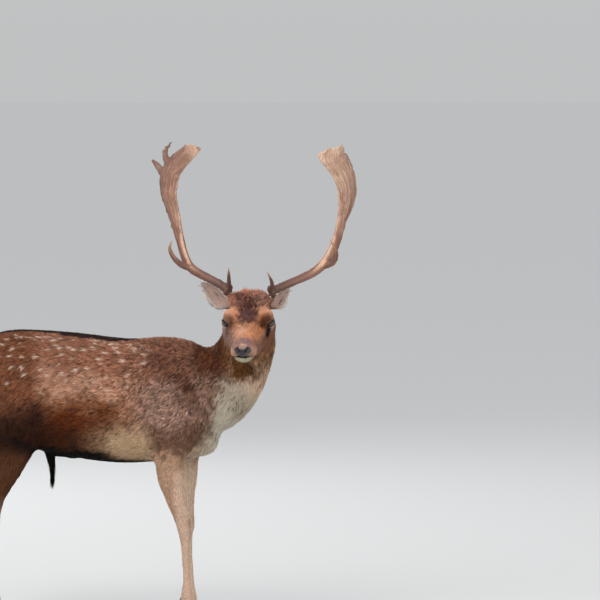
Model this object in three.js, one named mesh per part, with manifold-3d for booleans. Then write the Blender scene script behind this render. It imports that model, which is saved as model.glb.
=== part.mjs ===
// A fallow buck standing square, with its head turned to its right and raised.
// Millimetres, +Z up, +X the way the body faces, +Y its left side.
// The flesh is lofted whole, limb by limb, and then parted into named pieces by thin plane cuts.
import * as THREE from "three";
import { mergeVertices } from "three/addons/utils/BufferGeometryUtils.js";
import Module from "manifold-3d";

const wasm = await Module();
wasm.setup();

// ---------------------------------------------------------------- driving sizes
const GAP = 0.4; // clearance left by every cut between two pieces
const FLOOR = 0; // height of the soles
const HEAD_AT = [255, -170, 990]; // the poll, where the skull's own frame starts
const HEAD_TURN = -83; // degrees round Z from the body's own direction
const HEAD_PITCH = 22; // degrees that the face points below the horizon
const EYE = { at: [99, 61, -29], radius: 16.5 };
const HOOF_TOP = 36; // height of the coronet, where horn meets hair
const FETLOCK = 104; // height of the cut between cannon and pastern
const STANCE = {
  // x and y of each hoof's centre; knee and hock positions follow in the leg tables
  foreleg_right: { x: 58, y: -78 },
  foreleg_left: { x: 28, y: 78 },
  hindleg_right: { x: -540, y: -80 },
  hindleg_left: { x: -592, y: 80 },
};

// ---------------------------------------------------------------- finishes
const finish = (color, roughness, metalness = 0) =>
  new THREE.MeshStandardMaterial({ color, roughness, metalness });
const FINISHES = {
  coat: finish(0x8a5a3c, 0.9),
  pale_coat: finish(0xb08d72, 0.9),
  dark_coat: finish(0x2a1c14, 0.9),
  ear: finish(0x9a7866, 0.85),
  antler: finish(0x9c7458, 0.6),
  horn: finish(0x2b2622, 0.45),
  nose: finish(0x26262b, 0.35),
  eye: finish(0x17100c, 0.08),
};

// ---------------------------------------------------------------- numbers and frames
const vec = (x, y, z) => new THREE.Vector3(x, y, z);

// Row of numbers at `at`, on a smooth curve through rows sorted by their first number.
function through(rows, at) {
  const last = rows.length - 1;
  let i = 0;
  while (i < last - 1 && at > rows[i + 1][0]) i++;
  const width = rows[i + 1][0] - rows[i][0];
  const t = (at - rows[i][0]) / width;
  const slope = (k, c) => {
    const a = rows[Math.max(k - 1, 0)];
    const b = rows[Math.min(k + 1, last)];
    return (b[c] - a[c]) / (b[0] - a[0]);
  };
  return rows[i].map((value, c) => {
    const next = rows[i + 1][c];
    const h = t * t * (3 - 2 * t);
    const rise = (t * (1 - t) ** 2 * slope(i, c) - t * t * (1 - t) * slope(i + 1, c)) * width;
    return value + (next - value) * h + rise;
  });
}

// The same rows with `parts` smooth steps in each interval.
function refine(rows, parts) {
  const finer = [];
  for (let i = 0; i < rows.length - 1; i++) {
    for (let k = 0; k < parts; k++) {
      const at = rows[i][0] + ((rows[i + 1][0] - rows[i][0]) * k) / parts;
      finer.push(through(rows, at));
    }
  }
  finer.push(rows.at(-1));
  return finer;
}

// Frame of the skull: X towards the nose, Y to the animal's left, Z out of the forehead.
const headFrame = new THREE.Matrix4()
  .makeTranslation(...HEAD_AT)
  .multiply(new THREE.Matrix4().makeRotationZ(THREE.MathUtils.degToRad(HEAD_TURN)))
  .multiply(new THREE.Matrix4().makeRotationY(THREE.MathUtils.degToRad(HEAD_PITCH)));
const onHead = (x, y, z) => vec(x, y, z).applyMatrix4(headFrame);
const headWay = (x, y, z) => vec(x, y, z).transformDirection(headFrame);

// ---------------------------------------------------------------- closed surfaces
const power = (value, square) => Math.sign(value) * Math.abs(value) ** (2 / square);

// Rounded section: `half` to each side, `upper` and `lower` along up and down.
function ring(sides, { at, side, up, half, upper, lower, squareUp = 2, squareDown = 2 }) {
  const points = [];
  for (let i = 0; i < sides; i++) {
    const turn = (i / sides) * 2 * Math.PI;
    const rise = Math.sin(turn);
    const square = rise > 0 ? squareUp : squareDown;
    points.push(
      at
        .clone()
        .addScaledVector(side, half * power(Math.cos(turn), square))
        .addScaledVector(up, (rise > 0 ? upper : lower) * power(rise, square)),
    );
  }
  return points;
}

const middle = (points) =>
  points.reduce((sum, p) => sum.add(p), vec(0, 0, 0)).divideScalar(points.length);

function surface(points, faces) {
  const geometry = new THREE.BufferGeometry();
  geometry.setAttribute(
    "position",
    new THREE.Float32BufferAttribute(points.flatMap((p) => [p.x, p.y, p.z]), 3),
  );
  geometry.setIndex(faces.flat());
  return geometry;
}

// Skin over rings with equal numbers of points, closed by a fan at each end.
function loft(rings) {
  const sides = rings[0].length;
  const points = rings.flat();
  const first = points.push(middle(rings[0])) - 1;
  const last = points.push(middle(rings.at(-1))) - 1;
  const faces = [];
  for (let r = 0; r < rings.length - 1; r++) {
    for (let i = 0; i < sides; i++) {
      const a = r * sides + i;
      const b = r * sides + ((i + 1) % sides);
      faces.push([a, b, b + sides], [a, b + sides, a + sides]);
    }
  }
  const end = (rings.length - 1) * sides;
  for (let i = 0; i < sides; i++) {
    const next = (i + 1) % sides;
    faces.push([first, next, i], [last, end + i, end + next]);
  }
  return surface(points, faces);
}

// Loft along a curved spine. Rows are [key, x, y, z, half, upper, lower]; dorsal(t) says where up is.
// Sections stand square to the spine, or from the key `slanting` on they lie along dorsal(t) itself.
function limb(rows, parts, sides, dorsal, { square = 2, slanting = Infinity } = {}) {
  const finer = refine(rows, parts);
  const spots = finer.map((row) => vec(row[1], row[2], row[3]));
  return loft(
    finer.map((row, i) => {
      const ahead = spots[Math.min(i + 1, spots.length - 1)];
      const along = ahead.clone().sub(spots[Math.max(i - 1, 0)]).normalize();
      const up = dorsal(i / (finer.length - 1));
      const lean = THREE.MathUtils.smoothstep(row[0] - slanting, 0, 2);
      up.addScaledVector(along, -up.dot(along) * (1 - lean)).normalize();
      const side = up.clone().cross(along).normalize();
      const [half, upper, lower] = row.slice(4);
      const shape = { half, upper, lower, squareUp: square, squareDown: square };
      return ring(sides, { at: spots[i], side, up, ...shape });
    }),
  );
}

// ---------------------------------------------------------------- solids
function solid(geometry) {
  const bare = geometry.clone();
  bare.deleteAttribute("normal");
  bare.deleteAttribute("uv");
  const merged = mergeVertices(bare, 1e-3);
  const mesh = new wasm.Mesh({
    numProp: 3,
    vertProperties: merged.attributes.position.array,
    triVerts: new Uint32Array(merged.index.array),
  });
  const made = new wasm.Manifold(mesh);
  if (made.volume() >= 0) return made;
  for (let i = 0; i < mesh.triVerts.length; i += 3) {
    [mesh.triVerts[i + 1], mesh.triVerts[i + 2]] = [mesh.triVerts[i + 2], mesh.triVerts[i + 1]];
  }
  return new wasm.Manifold(mesh);
}

const join = (solids) => solids.reduce((all, one) => all.add(one));
const largest = (made) => made.decompose().sort((a, b) => b.volume() - a.volume())[0];

// Egg shape with its own radii along the axes of `frame`.
function egg(frame, at, radii, detail = 9) {
  const ball = new THREE.SphereGeometry(1, detail, Math.round(detail * 0.7));
  ball.scale(...radii).translate(...at);
  return solid(ball.applyMatrix4(frame));
}
const bodyFrame = new THREE.Matrix4();

// Cuts a solid at a plane: what lies beyond it, and what lies short of it by GAP.
function parted(whole, at, along) {
  const normal = along.clone().normalize();
  const offset = at.dot(normal);
  const beyond = whole.trimByPlane(normal.toArray(), offset);
  const short = whole.trimByPlane(normal.negate().toArray(), GAP - offset);
  return [beyond, short];
}

// ---------------------------------------------------------------- trunk
// x, top line, belly line, half width, height of the widest place
const TRUNK = [
  [-699, 742, 664, 34, 704],
  [-688, 780, 622, 74, 706],
  [-654, 828, 578, 108, 712],
  [-600, 862, 548, 127, 716],
  [-540, 883, 532, 135, 714],
  [-480, 888, 525, 136, 704],
  [-420, 885, 520, 138, 690],
  [-340, 880, 507, 148, 676],
  [-260, 872, 495, 155, 668],
  [-180, 863, 490, 153, 668],
  [-110, 862, 490, 146, 674],
  [-50, 870, 492, 132, 682],
  [0, 866, 494, 116, 686],
  [45, 858, 500, 99, 682],
  [84, 825, 512, 78, 668],
  [108, 752, 536, 54, 650],
  [120, 700, 580, 26, 640],
];

function trunk() {
  const rings = TRUNK.map(([x, top, belly, half, wide]) =>
    ring(20, {
      at: vec(x, 0, wide),
      side: vec(0, 1, 0),
      up: vec(0, 0, 1),
      half,
      upper: top - wide,
      lower: wide - belly,
      squareUp: 2.1,
      squareDown: 2.15,
    }),
  );
  const brisket = [1, -1].map((s) => egg(bodyFrame, [75, s * 30, 551], [49, 34, 46]));
  const breast = egg(bodyFrame, [64, 0, 600], [54, 66, 66], 12);
  return join([solid(loft(rings)), breast, ...brisket]);
}

// ---------------------------------------------------------------- legs
// height, front edge, rear edge, distance of the middle from the centre plane, half width
const FORELEG = [
  [812, 22, -62, 72, 22],
  [770, 42, -92, 76, 34],
  [710, 66, -112, 80, 42],
  [650, 82, -112, 84, 47],
  [600, 88, -100, 87, 47],
  [560, 76, -86, 90, 44],
  [525, 52, -72, 92, 38],
  [490, 36, -58, 90, 34],
  [440, 40, -48, 88, 29],
  [404, 43, -33, 86, 26],
  [369, 47, -19, 84, 23],
  [340, 51, -5, 82, 21],
  [312, 54, 6, 81, 22],
  [290, 54, 12, 80, 21.5],
  [268, 51, 17, 80, 17.5],
  [236, 51, 21, 79, 13.5],
  [180, 53, 24, 78, 12.5],
  [132, 55, 24, 78, 13.5],
  [FETLOCK, 58, 20, 78, 17],
  [84, 61, 16, 78, 18],
  [62, 68, 24, 78, 16],
  [46, 76, 32, 78, 18],
  [HOOF_TOP, 82, 36, 78, 20],
];
const HINDLEG = [
  [826, -514, -616, 66, 26],
  [790, -478, -650, 76, 42],
  [730, -446, -678, 84, 54],
  [670, -426, -690, 88, 59],
  [610, -410, -682, 92, 58],
  [560, -400, -666, 96, 53],
  [530, -404, -652, 97, 44],
  [500, -430, -638, 97, 38],
  [456, -460, -622, 95, 32],
  [414, -492, -612, 93, 28],
  [376, -516, -610, 89, 23.5],
  [348, -526, -612, 86, 21],
  [316, -532, -606, 84, 22],
  [290, -535, -598, 83, 21.5],
  [262, -537, -590, 82, 17],
  [228, -539, -577, 81, 13.5],
  [172, -541, -575, 80, 13],
  [128, -541, -577, 80, 14],
  [FETLOCK, -538, -580, 80, 17.5],
  [84, -535, -582, 80, 18],
  [62, -528, -574, 80, 16],
  [46, -520, -566, 80, 18],
  [HOOF_TOP, -514, -562, 80, 20],
];

// Loft down one leg. Its sections move back or forth so that the hoof stands at its place:
// none of them at the height swing[0], all of the way from swing[1] down.
function leg({ rows, home, swing }, place) {
  const side = Math.sign(place.y);
  const rings = rows.map(([z, front, rear, out, half]) => {
    const share = THREE.MathUtils.smoothstep(swing[0] - z, 0, swing[0] - swing[1]);
    const moved = (place.x - home) * share;
    return ring(11, {
      at: vec((front + rear) / 2 + moved, side * out, z),
      side: vec(0, side, 0),
      up: vec(1, 0, 0),
      half,
      upper: (front - rear) / 2,
      lower: (front - rear) / 2,
      squareUp: 2.1,
      squareDown: 2.1,
    });
  });
  return solid(loft(rings));
}

// ---------------------------------------------------------------- hooves
// Half of a cloven hoof: height, toe, heel, half width.
const CLAW = [
  [0, 40, -30, 12.5],
  [12, 35, -30, 13],
  [24, 27, -28, 12.8],
  [HOOF_TOP - GAP, 18, -25, 11.5],
];

function claw(place, inward) {
  const sides = 10;
  const rings = CLAW.map(([z, toe, heel, half]) => {
    const points = [];
    for (let i = 0; i < sides; i++) {
      const turn = (i / sides) * 2 * Math.PI;
      const x = (toe + heel) / 2 + ((toe - heel) / 2) * Math.cos(turn);
      const point = 1 - 0.45 * THREE.MathUtils.smoothstep(x, 0, toe); // the toe narrows
      const outer = Math.sin(turn) > 0 ? 1 : 0.8; // the face between the claws is flatter
      const y = half * outer * power(Math.sin(turn), 2.6) * point;
      points.push(vec(place.x + x, place.y - inward * (12.2 + y), FLOOR + z));
    }
    return points;
  });
  return solid(loft(rings));
}

// Dewclaw: a small blunt cone behind the pastern, pointing down.
function dewclaw(place, side, grow = 0) {
  const cone = new THREE.CylinderGeometry(8 + grow, 4 + grow, 24 + grow, 7);
  cone.rotateX(Math.PI / 2).rotateY(0.5);
  cone.translate(place.x - 41, place.y + side * 12, FLOOR + 68);
  return solid(cone);
}

// ---------------------------------------------------------------- neck, head, tail
// key, x, y, z, half width, towards the crest, towards the throat
const NECK = [
  [0, 20, 0, 690, 92, 135, 140],
  [1, 112, -8, 724, 92, 120, 138],
  [2, 172, -30, 766, 86, 106, 114],
  [3, 212, -65, 820, 83, 98, 96],
  [4, 238, -106, 878, 80, 82, 82],
  [5, 250, -142, 930, 62, 55, 56],
  [6, 254, -165, 947, 46, 37, 40],
];

function neck() {
  const low = vec(-0.5, 0, 0.86);
  const high = vec(-0.36, 0.78, 0.51);
  return solid(limb(NECK, 2, 18, (t) => low.clone().lerp(high, t), { square: 2.1 }));
}

// x, forehead line, jaw line, half width, height of the widest place, squareness above and below
const HEAD = [
  [-14, -20, -78, 28, -46, 2, 2],
  [2, 4, -106, 50, -46, 2, 2.3],
  [22, 19, -120, 62, -46, 2, 2.7],
  [46, 27, -130, 71, -47, 2.1, 3],
  [72, 22, -134, 75, -48, 2.2, 3.2],
  [98, 11, -130, 75, -50, 2.2, 3.2],
  [124, 1, -121, 70, -52, 2.1, 3],
  [154, -6, -108, 58, -53, 2.1, 2.8],
  [190, -11, -96, 45.5, -51, 2.2, 2.6],
  [226, -14, -88, 38, -48, 2.4, 2.6],
  [252, -15, -85, 36.5, -46, 2.5, 2.9],
  [270, -16, -84.5, 34, -45, 2.4, 3],
  [281, -19, -75, 28, -44, 2.3, 2.5],
  [287, -27, -57, 15, -41, 2, 2],
];
const NOSE_PAD = [[283, 0, -34], [10, 26, 17]];

function head() {
  const way = { side: headWay(0, 1, 0), up: headWay(0, 0, 1) };
  const rings = HEAD.map(([x, top, jaw, half, wide, squareUp, squareDown]) =>
    ring(20, {
      at: onHead(x, 0, wide),
      ...way,
      half,
      upper: top - wide,
      lower: wide - jaw,
      squareUp,
      squareDown,
    }),
  );
  const brows = [1, -1].map((s) => egg(headFrame, [92, s * 51, -11], [32, 23, 15]));
  const crown = egg(headFrame, [36, 0, 14], [38, 54, 33]); // curled hair between the antlers
  return join([solid(loft(rings)), crown, ...brows]);
}

const TAIL = [
  [0, -640, 0, 790, 20, 14, 14],
  [1, -686, 0, 794, 20, 13, 13],
  [2, -715, 0, 768, 23, 12, 12],
  [3, -723, 0, 720, 26, 12, 12],
  [4, -723, 0, 660, 22, 11, 11],
  [5, -716, 0, 600, 8, 5, 5],
];
const tail = () => solid(limb(TAIL, 2, 12, () => vec(-0.7, 0, 0.7)));

// The tuft of long hair on the sheath.
const TUFT = [
  [0, -400, 0, 548, 18, 30, 28],
  [1, -402, 0, 522, 13, 19, 18],
  [2, -398, 0, 498, 9.5, 11, 11],
  [3, -394, 0, 470, 6.5, 7.5, 7.5],
  [4, -393, 0, 438, 4, 4.5, 4.5],
  [5, -395, 0, 403, 1.5, 1.5, 1.5],
];
const bellyTuft = () => solid(limb(TUFT, 1, 10, () => vec(1, 0, 0)));

// ---------------------------------------------------------------- ears
// Leaf-shaped cup: `radius` across, and `wrap`, the half angle that the cup closes round.
const EAR_ROWS = [
  [0, 15, 2.6],
  [0.12, 20.5, 2.3],
  [0.28, 28.5, 1.85],
  [0.48, 30, 1.5],
  [0.68, 24, 1.25],
  [0.86, 14, 1.1],
  [1, 4, 0.9],
];
const EARS = {
  ear_right: { root: [10, -52, -16], tip: [-95, -156, 6], size: 1 },
  ear_left: { root: [10, 52, -18], tip: [-112, 104, -20], size: 0.82 },
};
const EAR_WALL = 5;

function ear({ root, tip, size }) {
  const from = onHead(...root);
  const to = onHead(...tip);
  const along = to.clone().sub(from);
  const axis = along.clone().normalize();
  const opening = headWay(0.85, Math.sign(root[1]) * 0.25, 0.1);
  opening.addScaledVector(axis, -opening.dot(axis)).normalize();
  const across = axis.clone().cross(opening);
  const steps = 8;
  const arcs = 5;
  const points = [];
  const place = (u, v, wall) => {
    const [, full, wrap] = through(EAR_ROWS, u);
    const radius = full * size;
    const angle = v * wrap;
    const reach = radius - wall;
    const spine = from.clone().addScaledVector(along, u);
    spine.addScaledVector(opening, radius * 0.55 * Math.sin(u * Math.PI)); // the back bows
    return spine
      .addScaledVector(across, reach * Math.sin(angle))
      .addScaledVector(opening, -reach * Math.cos(angle));
  };
  for (const wall of [0, EAR_WALL]) {
    for (let i = 0; i <= steps; i++) {
      for (let j = 0; j <= arcs; j++) {
        const thin = wall * (0.35 + 0.65 * (1 - i / steps)) * (1 - 0.5 * Math.abs((2 * j) / arcs - 1));
        points.push(place(i / steps, (2 * j) / arcs - 1, thin));
      }
    }
  }
  const row = arcs + 1;
  const inner = row * (steps + 1);
  const faces = [];
  const quad = (a, b, c, d) => faces.push([a, b, c], [a, c, d]);
  for (let i = 0; i < steps; i++) {
    for (let j = 0; j < arcs; j++) {
      const a = i * row + j;
      quad(a, a + 1, a + row + 1, a + row);
      quad(inner + a, inner + a + row, inner + a + row + 1, inner + a + 1);
    }
    for (const [j, turn] of [[0, 1], [arcs, -1]]) {
      const a = i * row + j;
      if (turn > 0) quad(a, a + row, inner + a + row, inner + a);
      else quad(a, inner + a, inner + a + row, a + row);
    }
  }
  for (let j = 0; j < arcs; j++) {
    const b = steps * row + j;
    quad(j, inner + j, inner + j + 1, j + 1);
    quad(b, b + 1, inner + b + 1, inner + b);
  }
  return solid(surface(points, faces));
}

// ---------------------------------------------------------------- antlers
// In the skull's frame, with `out` away from its middle. Beam rows are
// [key, forward, out, up, half thickness, half width on the front edge, on the rear edge].
const ANTLERS = {
  right: {
    beam: [
      [0, 40, 44, 20, 16, 16, 16],
      [1, 33, 58, 42, 13, 13.5, 13.5],
      [2, 8, 102, 60, 12, 12.5, 12.5],
      [3, -29, 170, 80, 13, 15, 15],
      [4, -62, 196, 105, 12.5, 14, 14],
      [5, -95, 211, 139, 12, 14, 14],
      [6, -132, 227, 188, 10.5, 21, 22],
      [7, -156, 239, 224, 9, 29, 30],
      [8, -173, 251, 265, 8, 40, 36],
      [9, -188, 246, 315, 7, 51, 45],
      [10, -196, 216, 359, 6, 62, 61],
      [11, -200, 190, 390, 5, 62, 46],
      [12, -201, 187, 407, 3.5, 16, 14],
    ],
    brow: [
      [0, 34, 56, 42, 9, 9, 9],
      [1, 42, 58, 72, 7, 7, 7],
      [2, 48, 57, 100, 5, 5, 5],
      [3, 52, 56, 128, 1.5, 1.5, 1.5],
    ],
    trez: [
      [0, -32, 172, 82, 11, 11, 11],
      [1, -22, 204, 100, 10, 10, 10],
      [2, -14, 226, 130, 8, 8, 8],
      [3, -9, 234, 160, 5.5, 5.5, 5.5],
      [4, -6, 224, 187, 1.5, 1.5, 1.5],
    ],
    points: [
      [[-208, 262, 296], [-232, 282, 320], [-246, 304, 338], 13],
      [[-214, 248, 322], [-241, 264, 366], [-238, 240, 399], 12],
    ],
  },
  left: {
    beam: [
      [0, 38, 46, 16, 16, 16, 16],
      [1, 29, 60, 34, 13, 13.5, 13.5],
      [2, 0, 106, 48, 12, 12.5, 12.5],
      [3, -42, 172, 61, 12.5, 14, 14],
      [4, -74, 212, 82, 12.5, 15, 15],
      [5, -112, 238, 114, 12, 15, 15],
      [6, -146, 251, 146, 11, 15, 15],
      [7, -173, 258, 174, 10, 17, 18],
      [8, -194, 268, 201, 9, 26, 27],
      [9, -212, 274, 240, 8, 35, 36],
      [10, -222, 271, 276, 7.5, 42, 42],
      [11, -226, 256, 315, 6.5, 52, 52],
      [12, -226, 238, 352, 6, 64, 61],
      [13, -229, 239, 370, 5, 52, 48],
      [14, -232, 246, 386, 3, 12, 12],
    ],
    brow: [
      [0, 29, 58, 34, 9, 9, 9],
      [1, 38, 68, 58, 7.5, 7.5, 7.5],
      [2, 43, 65, 84, 5, 5, 5],
      [3, 46, 54, 112, 1.5, 1.5, 1.5],
    ],
    trez: [
      [0, -66, 204, 76, 11, 11, 11],
      [1, -58, 238, 90, 9.5, 9.5, 9.5],
      [2, -51, 250, 120, 7.5, 7.5, 7.5],
      [3, -47, 246, 148, 5, 5, 5],
      [4, -44, 232, 174, 1.5, 1.5, 1.5],
    ],
    points: [],
  },
};
const PALM_FRONT = vec(0.6, -0.74, 0.29); // from the palm's middle to its front edge
const BURR_RISE = 6; // from the beam's second row to the ring round the antler's foot
const PALM_FROM = 6; // row of the beam from which the sections lie along PALM_FRONT

// Rows in the skull's frame, mirrored to the animal's right for side -1.
const placed = (rows, side) =>
  rows.map(([key, forward, out, up, ...sizes]) => {
    const p = onHead(forward, side * out, up);
    return [key, p.x, p.y, p.z, ...sizes];
  });

const pieces = new Map();

// Keeps the part of `whole` beyond a plane as a named piece, and gives back the remainder.
function part(name, finishName, whole, at, along) {
  const [beyond, short] = parted(whole, at, along);
  pieces.set(name, [largest(beyond), finishName]);
  return short;
}

// Parts a branch from its root, `share` of the way along the rows from number `i`.
function branch(name, finishName, rows, side, whole, i, share) {
  const from = onHead(rows[i][1], side * rows[i][2], rows[i][3]);
  const to = onHead(rows[i + 1][1], side * rows[i + 1][2], rows[i + 1][3]);
  const way = to.clone().sub(from);
  return part(name, finishName, whole, from.lerp(to, share), way);
}

// Makes one antler's pieces, and gives back the stub that stays on the skull.
function antler(name, side) {
  const { beam, brow, trez, points } = ANTLERS[name];
  const front = headWay(PALM_FRONT.x, side * PALM_FRONT.y, PALM_FRONT.z);
  const round = (rows) => solid(limb(placed(rows, side), 2, 6, () => front.clone()));
  const label = `antler_${name}`;
  const browRoot = branch(`${label}_brow_tine`, "antler", brow, side, round(brow), 1, 0);
  const trezRoot = branch(`${label}_trez_tine`, "antler", trez, side, round(trez), 1, 0.15);
  const palm = { slanting: PALM_FROM };
  const spine = solid(limb(placed(beam, side), 2, 9, () => front.clone(), palm));
  const [low, high] = beam.slice(1, 3).map((row) => onHead(row[1], side * row[2], row[3]));
  const up = high.clone().sub(low).normalize();
  const turn = new THREE.Quaternion().setFromUnitVectors(vec(0, 0, 1), up);
  const burr = new THREE.TorusGeometry(14.5, 5, 6, 12).applyQuaternion(turn);
  burr.translate(...low.addScaledVector(up, BURR_RISE));
  const snags = points.map(([root, mid, tip, r]) =>
    round([
      [0, ...root, r, r, r],
      [1, ...mid, r * 0.7, r * 0.75, r * 0.75],
      [2, ...tip, 2.5, 2.5, 2.5],
    ]),
  );
  const whole = join([spine, solid(burr), browRoot, trezRoot, ...snags]);
  const lower = branch(`${label}_palm`, "antler", beam, side, whole, 6, 0.1);
  return branch(`${label}_beam`, "antler", beam, side, lower, 1, 0);
}

// Makes one leg's pieces below the body, and gives back the part inside the body.
function legPieces(name, place) {
  const kind = name.split("_")[0];
  const side = Math.sign(place.y);
  let whole = leg(LEGS[kind], place);
  for (const [edge, s] of [["outer", side], ["inner", -side]]) {
    pieces.set(`${name}_claw_${edge}`, [claw(place, -s), "horn"]);
    pieces.set(`${name}_dewclaw_${edge}`, [dewclaw(place, s), "horn"]);
    whole = whole.subtract(dewclaw(place, s, 2 * GAP));
  }
  for (const [label, height] of LEGS[kind].cuts.toReversed()) {
    const below = vec(0, 0, -1);
    whole = part(`${name}_${label}`, "pale_coat", whole, vec(0, 0, height), below);
  }
  return whole;
}

// ---------------------------------------------------------------- the whole animal, then its parts
const LEGS = {
  // home: where a table's own hoof stands; cuts: the height of the top of each piece
  foreleg: {
    rows: FORELEG,
    home: 58,
    swing: [500, 300],
    cuts: [["forearm", 486], ["cannon", 326], ["pastern", FETLOCK]],
  },
  hindleg: {
    rows: HINDLEG,
    home: -540,
    swing: [760, 500],
    cuts: [["gaskin", 512], ["cannon", 352], ["pastern", FETLOCK]],
  },
};
const earRoots = Object.entries(EARS).map(([name, shape]) => {
  const way = onHead(...shape.tip).sub(onHead(...shape.root));
  return part(name, "ear", ear(shape), onHead(...shape.root).addScaledVector(way, 0.17), way);
});
let flesh = join([
  trunk(),
  neck(),
  head(),
  antler("right", -1),
  antler("left", 1),
  part("tail", "coat", tail(), vec(-702, 0, 690), vec(-1, 0, 0)),
  part("belly_tuft", "dark_coat", bellyTuft(), vec(-390, 0, 505), vec(0, 0, -1)),
  ...earRoots,
  ...Object.entries(STANCE).map(([name, place]) => legPieces(name, place)),
]);

for (const [name, s] of [["eye_right", -1], ["eye_left", 1]]) {
  const [x, y, z] = EYE.at;
  const ball = (grow) => egg(headFrame, [x, s * y, z], [0, 0, 0].fill(EYE.radius + grow), 9);
  const slit = egg(headFrame, [x + 1, s * (y + 15), z], [15, 13, 9.5], 9); // between the lids
  flesh = flesh.subtract(slit).subtract(ball(GAP));
  pieces.set(name, [ball(0), "eye"]);
}
pieces.set("nose_pad", [egg(headFrame, ...NOSE_PAD, 12), "nose"]);
flesh = flesh.subtract(egg(headFrame, NOSE_PAD[0], NOSE_PAD[1].map((r) => r + GAP), 12));
flesh = part("head", "coat", flesh, onHead(10, 0, -60), headWay(0.75, 0, 0.66));
flesh = part("neck", "coat", flesh, vec(88, 0, 725), vec(0.94, 0, 0.3));
flesh = part("chest", "coat", flesh, vec(-118, 0, 680), vec(1, 0, 0));
flesh = part("haunches", "coat", flesh, vec(-392, 0, 680), vec(-1, 0, 0));
pieces.set("belly", [largest(flesh), "coat"]);

// ---------------------------------------------------------------- the scene graph
const deer = new THREE.Group();
for (const [name, [piece, finishName]] of pieces) {
  const { vertProperties, triVerts } = piece.getMesh();
  const geometry = new THREE.BufferGeometry();
  geometry.setAttribute("position", new THREE.BufferAttribute(vertProperties, 3));
  geometry.setIndex(new THREE.BufferAttribute(triVerts, 1));
  const mesh = new THREE.Mesh(geometry, FINISHES[finishName]);
  mesh.name = name;
  deer.add(mesh);
}

// The frame's origin is on the floor, under the middle of the whole.
const bounds = new THREE.Box3().setFromObject(deer, true);
const centre = bounds.getCenter(vec(0, 0, 0));
deer.position.set(-centre.x, -centre.y, -bounds.min.z);

export default deer;
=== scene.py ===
import math

import bmesh
import bpy
import numpy as np
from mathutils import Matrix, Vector
from mathutils.bvhtree import BVHTree
from mathutils.kdtree import KDTree


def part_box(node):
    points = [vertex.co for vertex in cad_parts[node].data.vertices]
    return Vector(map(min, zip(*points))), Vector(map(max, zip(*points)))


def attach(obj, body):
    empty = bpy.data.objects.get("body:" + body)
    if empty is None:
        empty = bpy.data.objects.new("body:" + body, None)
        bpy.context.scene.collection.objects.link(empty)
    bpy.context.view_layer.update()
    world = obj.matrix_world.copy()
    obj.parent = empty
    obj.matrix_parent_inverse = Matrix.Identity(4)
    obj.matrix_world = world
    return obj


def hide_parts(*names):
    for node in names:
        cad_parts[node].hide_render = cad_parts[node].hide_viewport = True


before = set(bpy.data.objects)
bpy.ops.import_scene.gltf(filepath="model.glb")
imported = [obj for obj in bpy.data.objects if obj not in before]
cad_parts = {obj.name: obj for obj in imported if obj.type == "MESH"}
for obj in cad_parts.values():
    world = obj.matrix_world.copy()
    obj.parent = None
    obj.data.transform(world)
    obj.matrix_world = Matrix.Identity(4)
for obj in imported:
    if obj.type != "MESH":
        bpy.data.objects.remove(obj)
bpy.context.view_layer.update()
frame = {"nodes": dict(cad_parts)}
nodes = frame["nodes"]


# Small sums that shapes and colours share.
def unit(v):
    v = np.asarray(v, float)
    return v / np.maximum(np.linalg.norm(v, axis=-1, keepdims=True), 1e-9)


def smoothstep(x, low, high):  # 0 at low, 1 at high, and falling where high is the smaller
    t = np.clip((np.asarray(x, float) - low) / (high - low), 0, 1)
    return t * t * (3 - 2 * t)


def blended(a, b, share):  # from one way to another, by each point's share
    return np.asarray(a, float) * (1 - share)[:, None] + np.array(b) * share[:, None]


def blob(points, at, radii):  # 1 at a spot, fading to 0 around it
    return np.exp(-0.5 * (((points - np.array(at)) / np.array(radii)) ** 2).sum(-1))


def alongSegment(points, a, b):  # share of the way from a to b, and distance from that line
    a, b = np.array(a, float), np.array(b, float)
    way = b - a
    t = np.clip(((points - a) @ way) / (way @ way), 0, 1)
    return t, np.linalg.norm(points - a - t[:, None] * way, axis=1)


def ridge(points, a, b, radius):  # 1 along a line between two spots, fading to 0 beside it
    return np.exp(-0.5 * (alongSegment(points, a, b)[1] / radius) ** 2)


class Noise:  # smooth random field, made of waves that run in random directions
    def __init__(self, size, seed, waves=24):
        dice = np.random.default_rng(seed)
        ways = unit(dice.normal(size=(waves, 3)))
        self.ways = ways * dice.uniform(0.6, 1.6, (waves, 1)) * 2 * math.pi / size
        self.starts = dice.uniform(0, 2 * math.pi, waves)

    def __call__(self, points):
        return np.sin(points @ self.ways.T + self.starts).sum(1) / math.sqrt(len(self.starts) / 2)


# The animal's own frame.
def middleOf(name):
    low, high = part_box(name)
    return np.array((low + high) / 2) * 1000


# In the skull's frame X runs to the nose, Y to the left and Z out of the forehead.
skull = {"eye": (99, 61, -29), "nosePad": (283, 0, -34), "inBody": (255, -170, 990)}


def skullFrame():
    right, left, pad = (middleOf(n) for n in ("eye_right", "eye_left", "nose_pad"))
    way = unit(pad - (right + left) / 2)
    y = unit(left - right)
    drop = math.atan2(skull["eye"][2] - skull["nosePad"][2], skull["nosePad"][0] - skull["eye"][0])
    x = way * math.cos(drop) + np.cross(way, y) * math.sin(drop)
    z = np.cross(x, y)
    origin = (right + left) / 2 - skull["eye"][0] * x - skull["eye"][2] * z
    return np.array([x, y, z]), origin


skullWays, skullAt = skullFrame()
bodyAt = skullAt - np.array(skull["inBody"])
skullAt = skullAt - bodyAt  # from here on everything is in the body's frame


def onSkull(points):  # from the body's frame to the skull's
    return (points - skullAt) @ skullWays.T


def offSkull(points):
    return np.asarray(points, float) @ skullWays + skullAt


def skullWay(v):
    return np.asarray(v, float) @ skullWays


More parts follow.
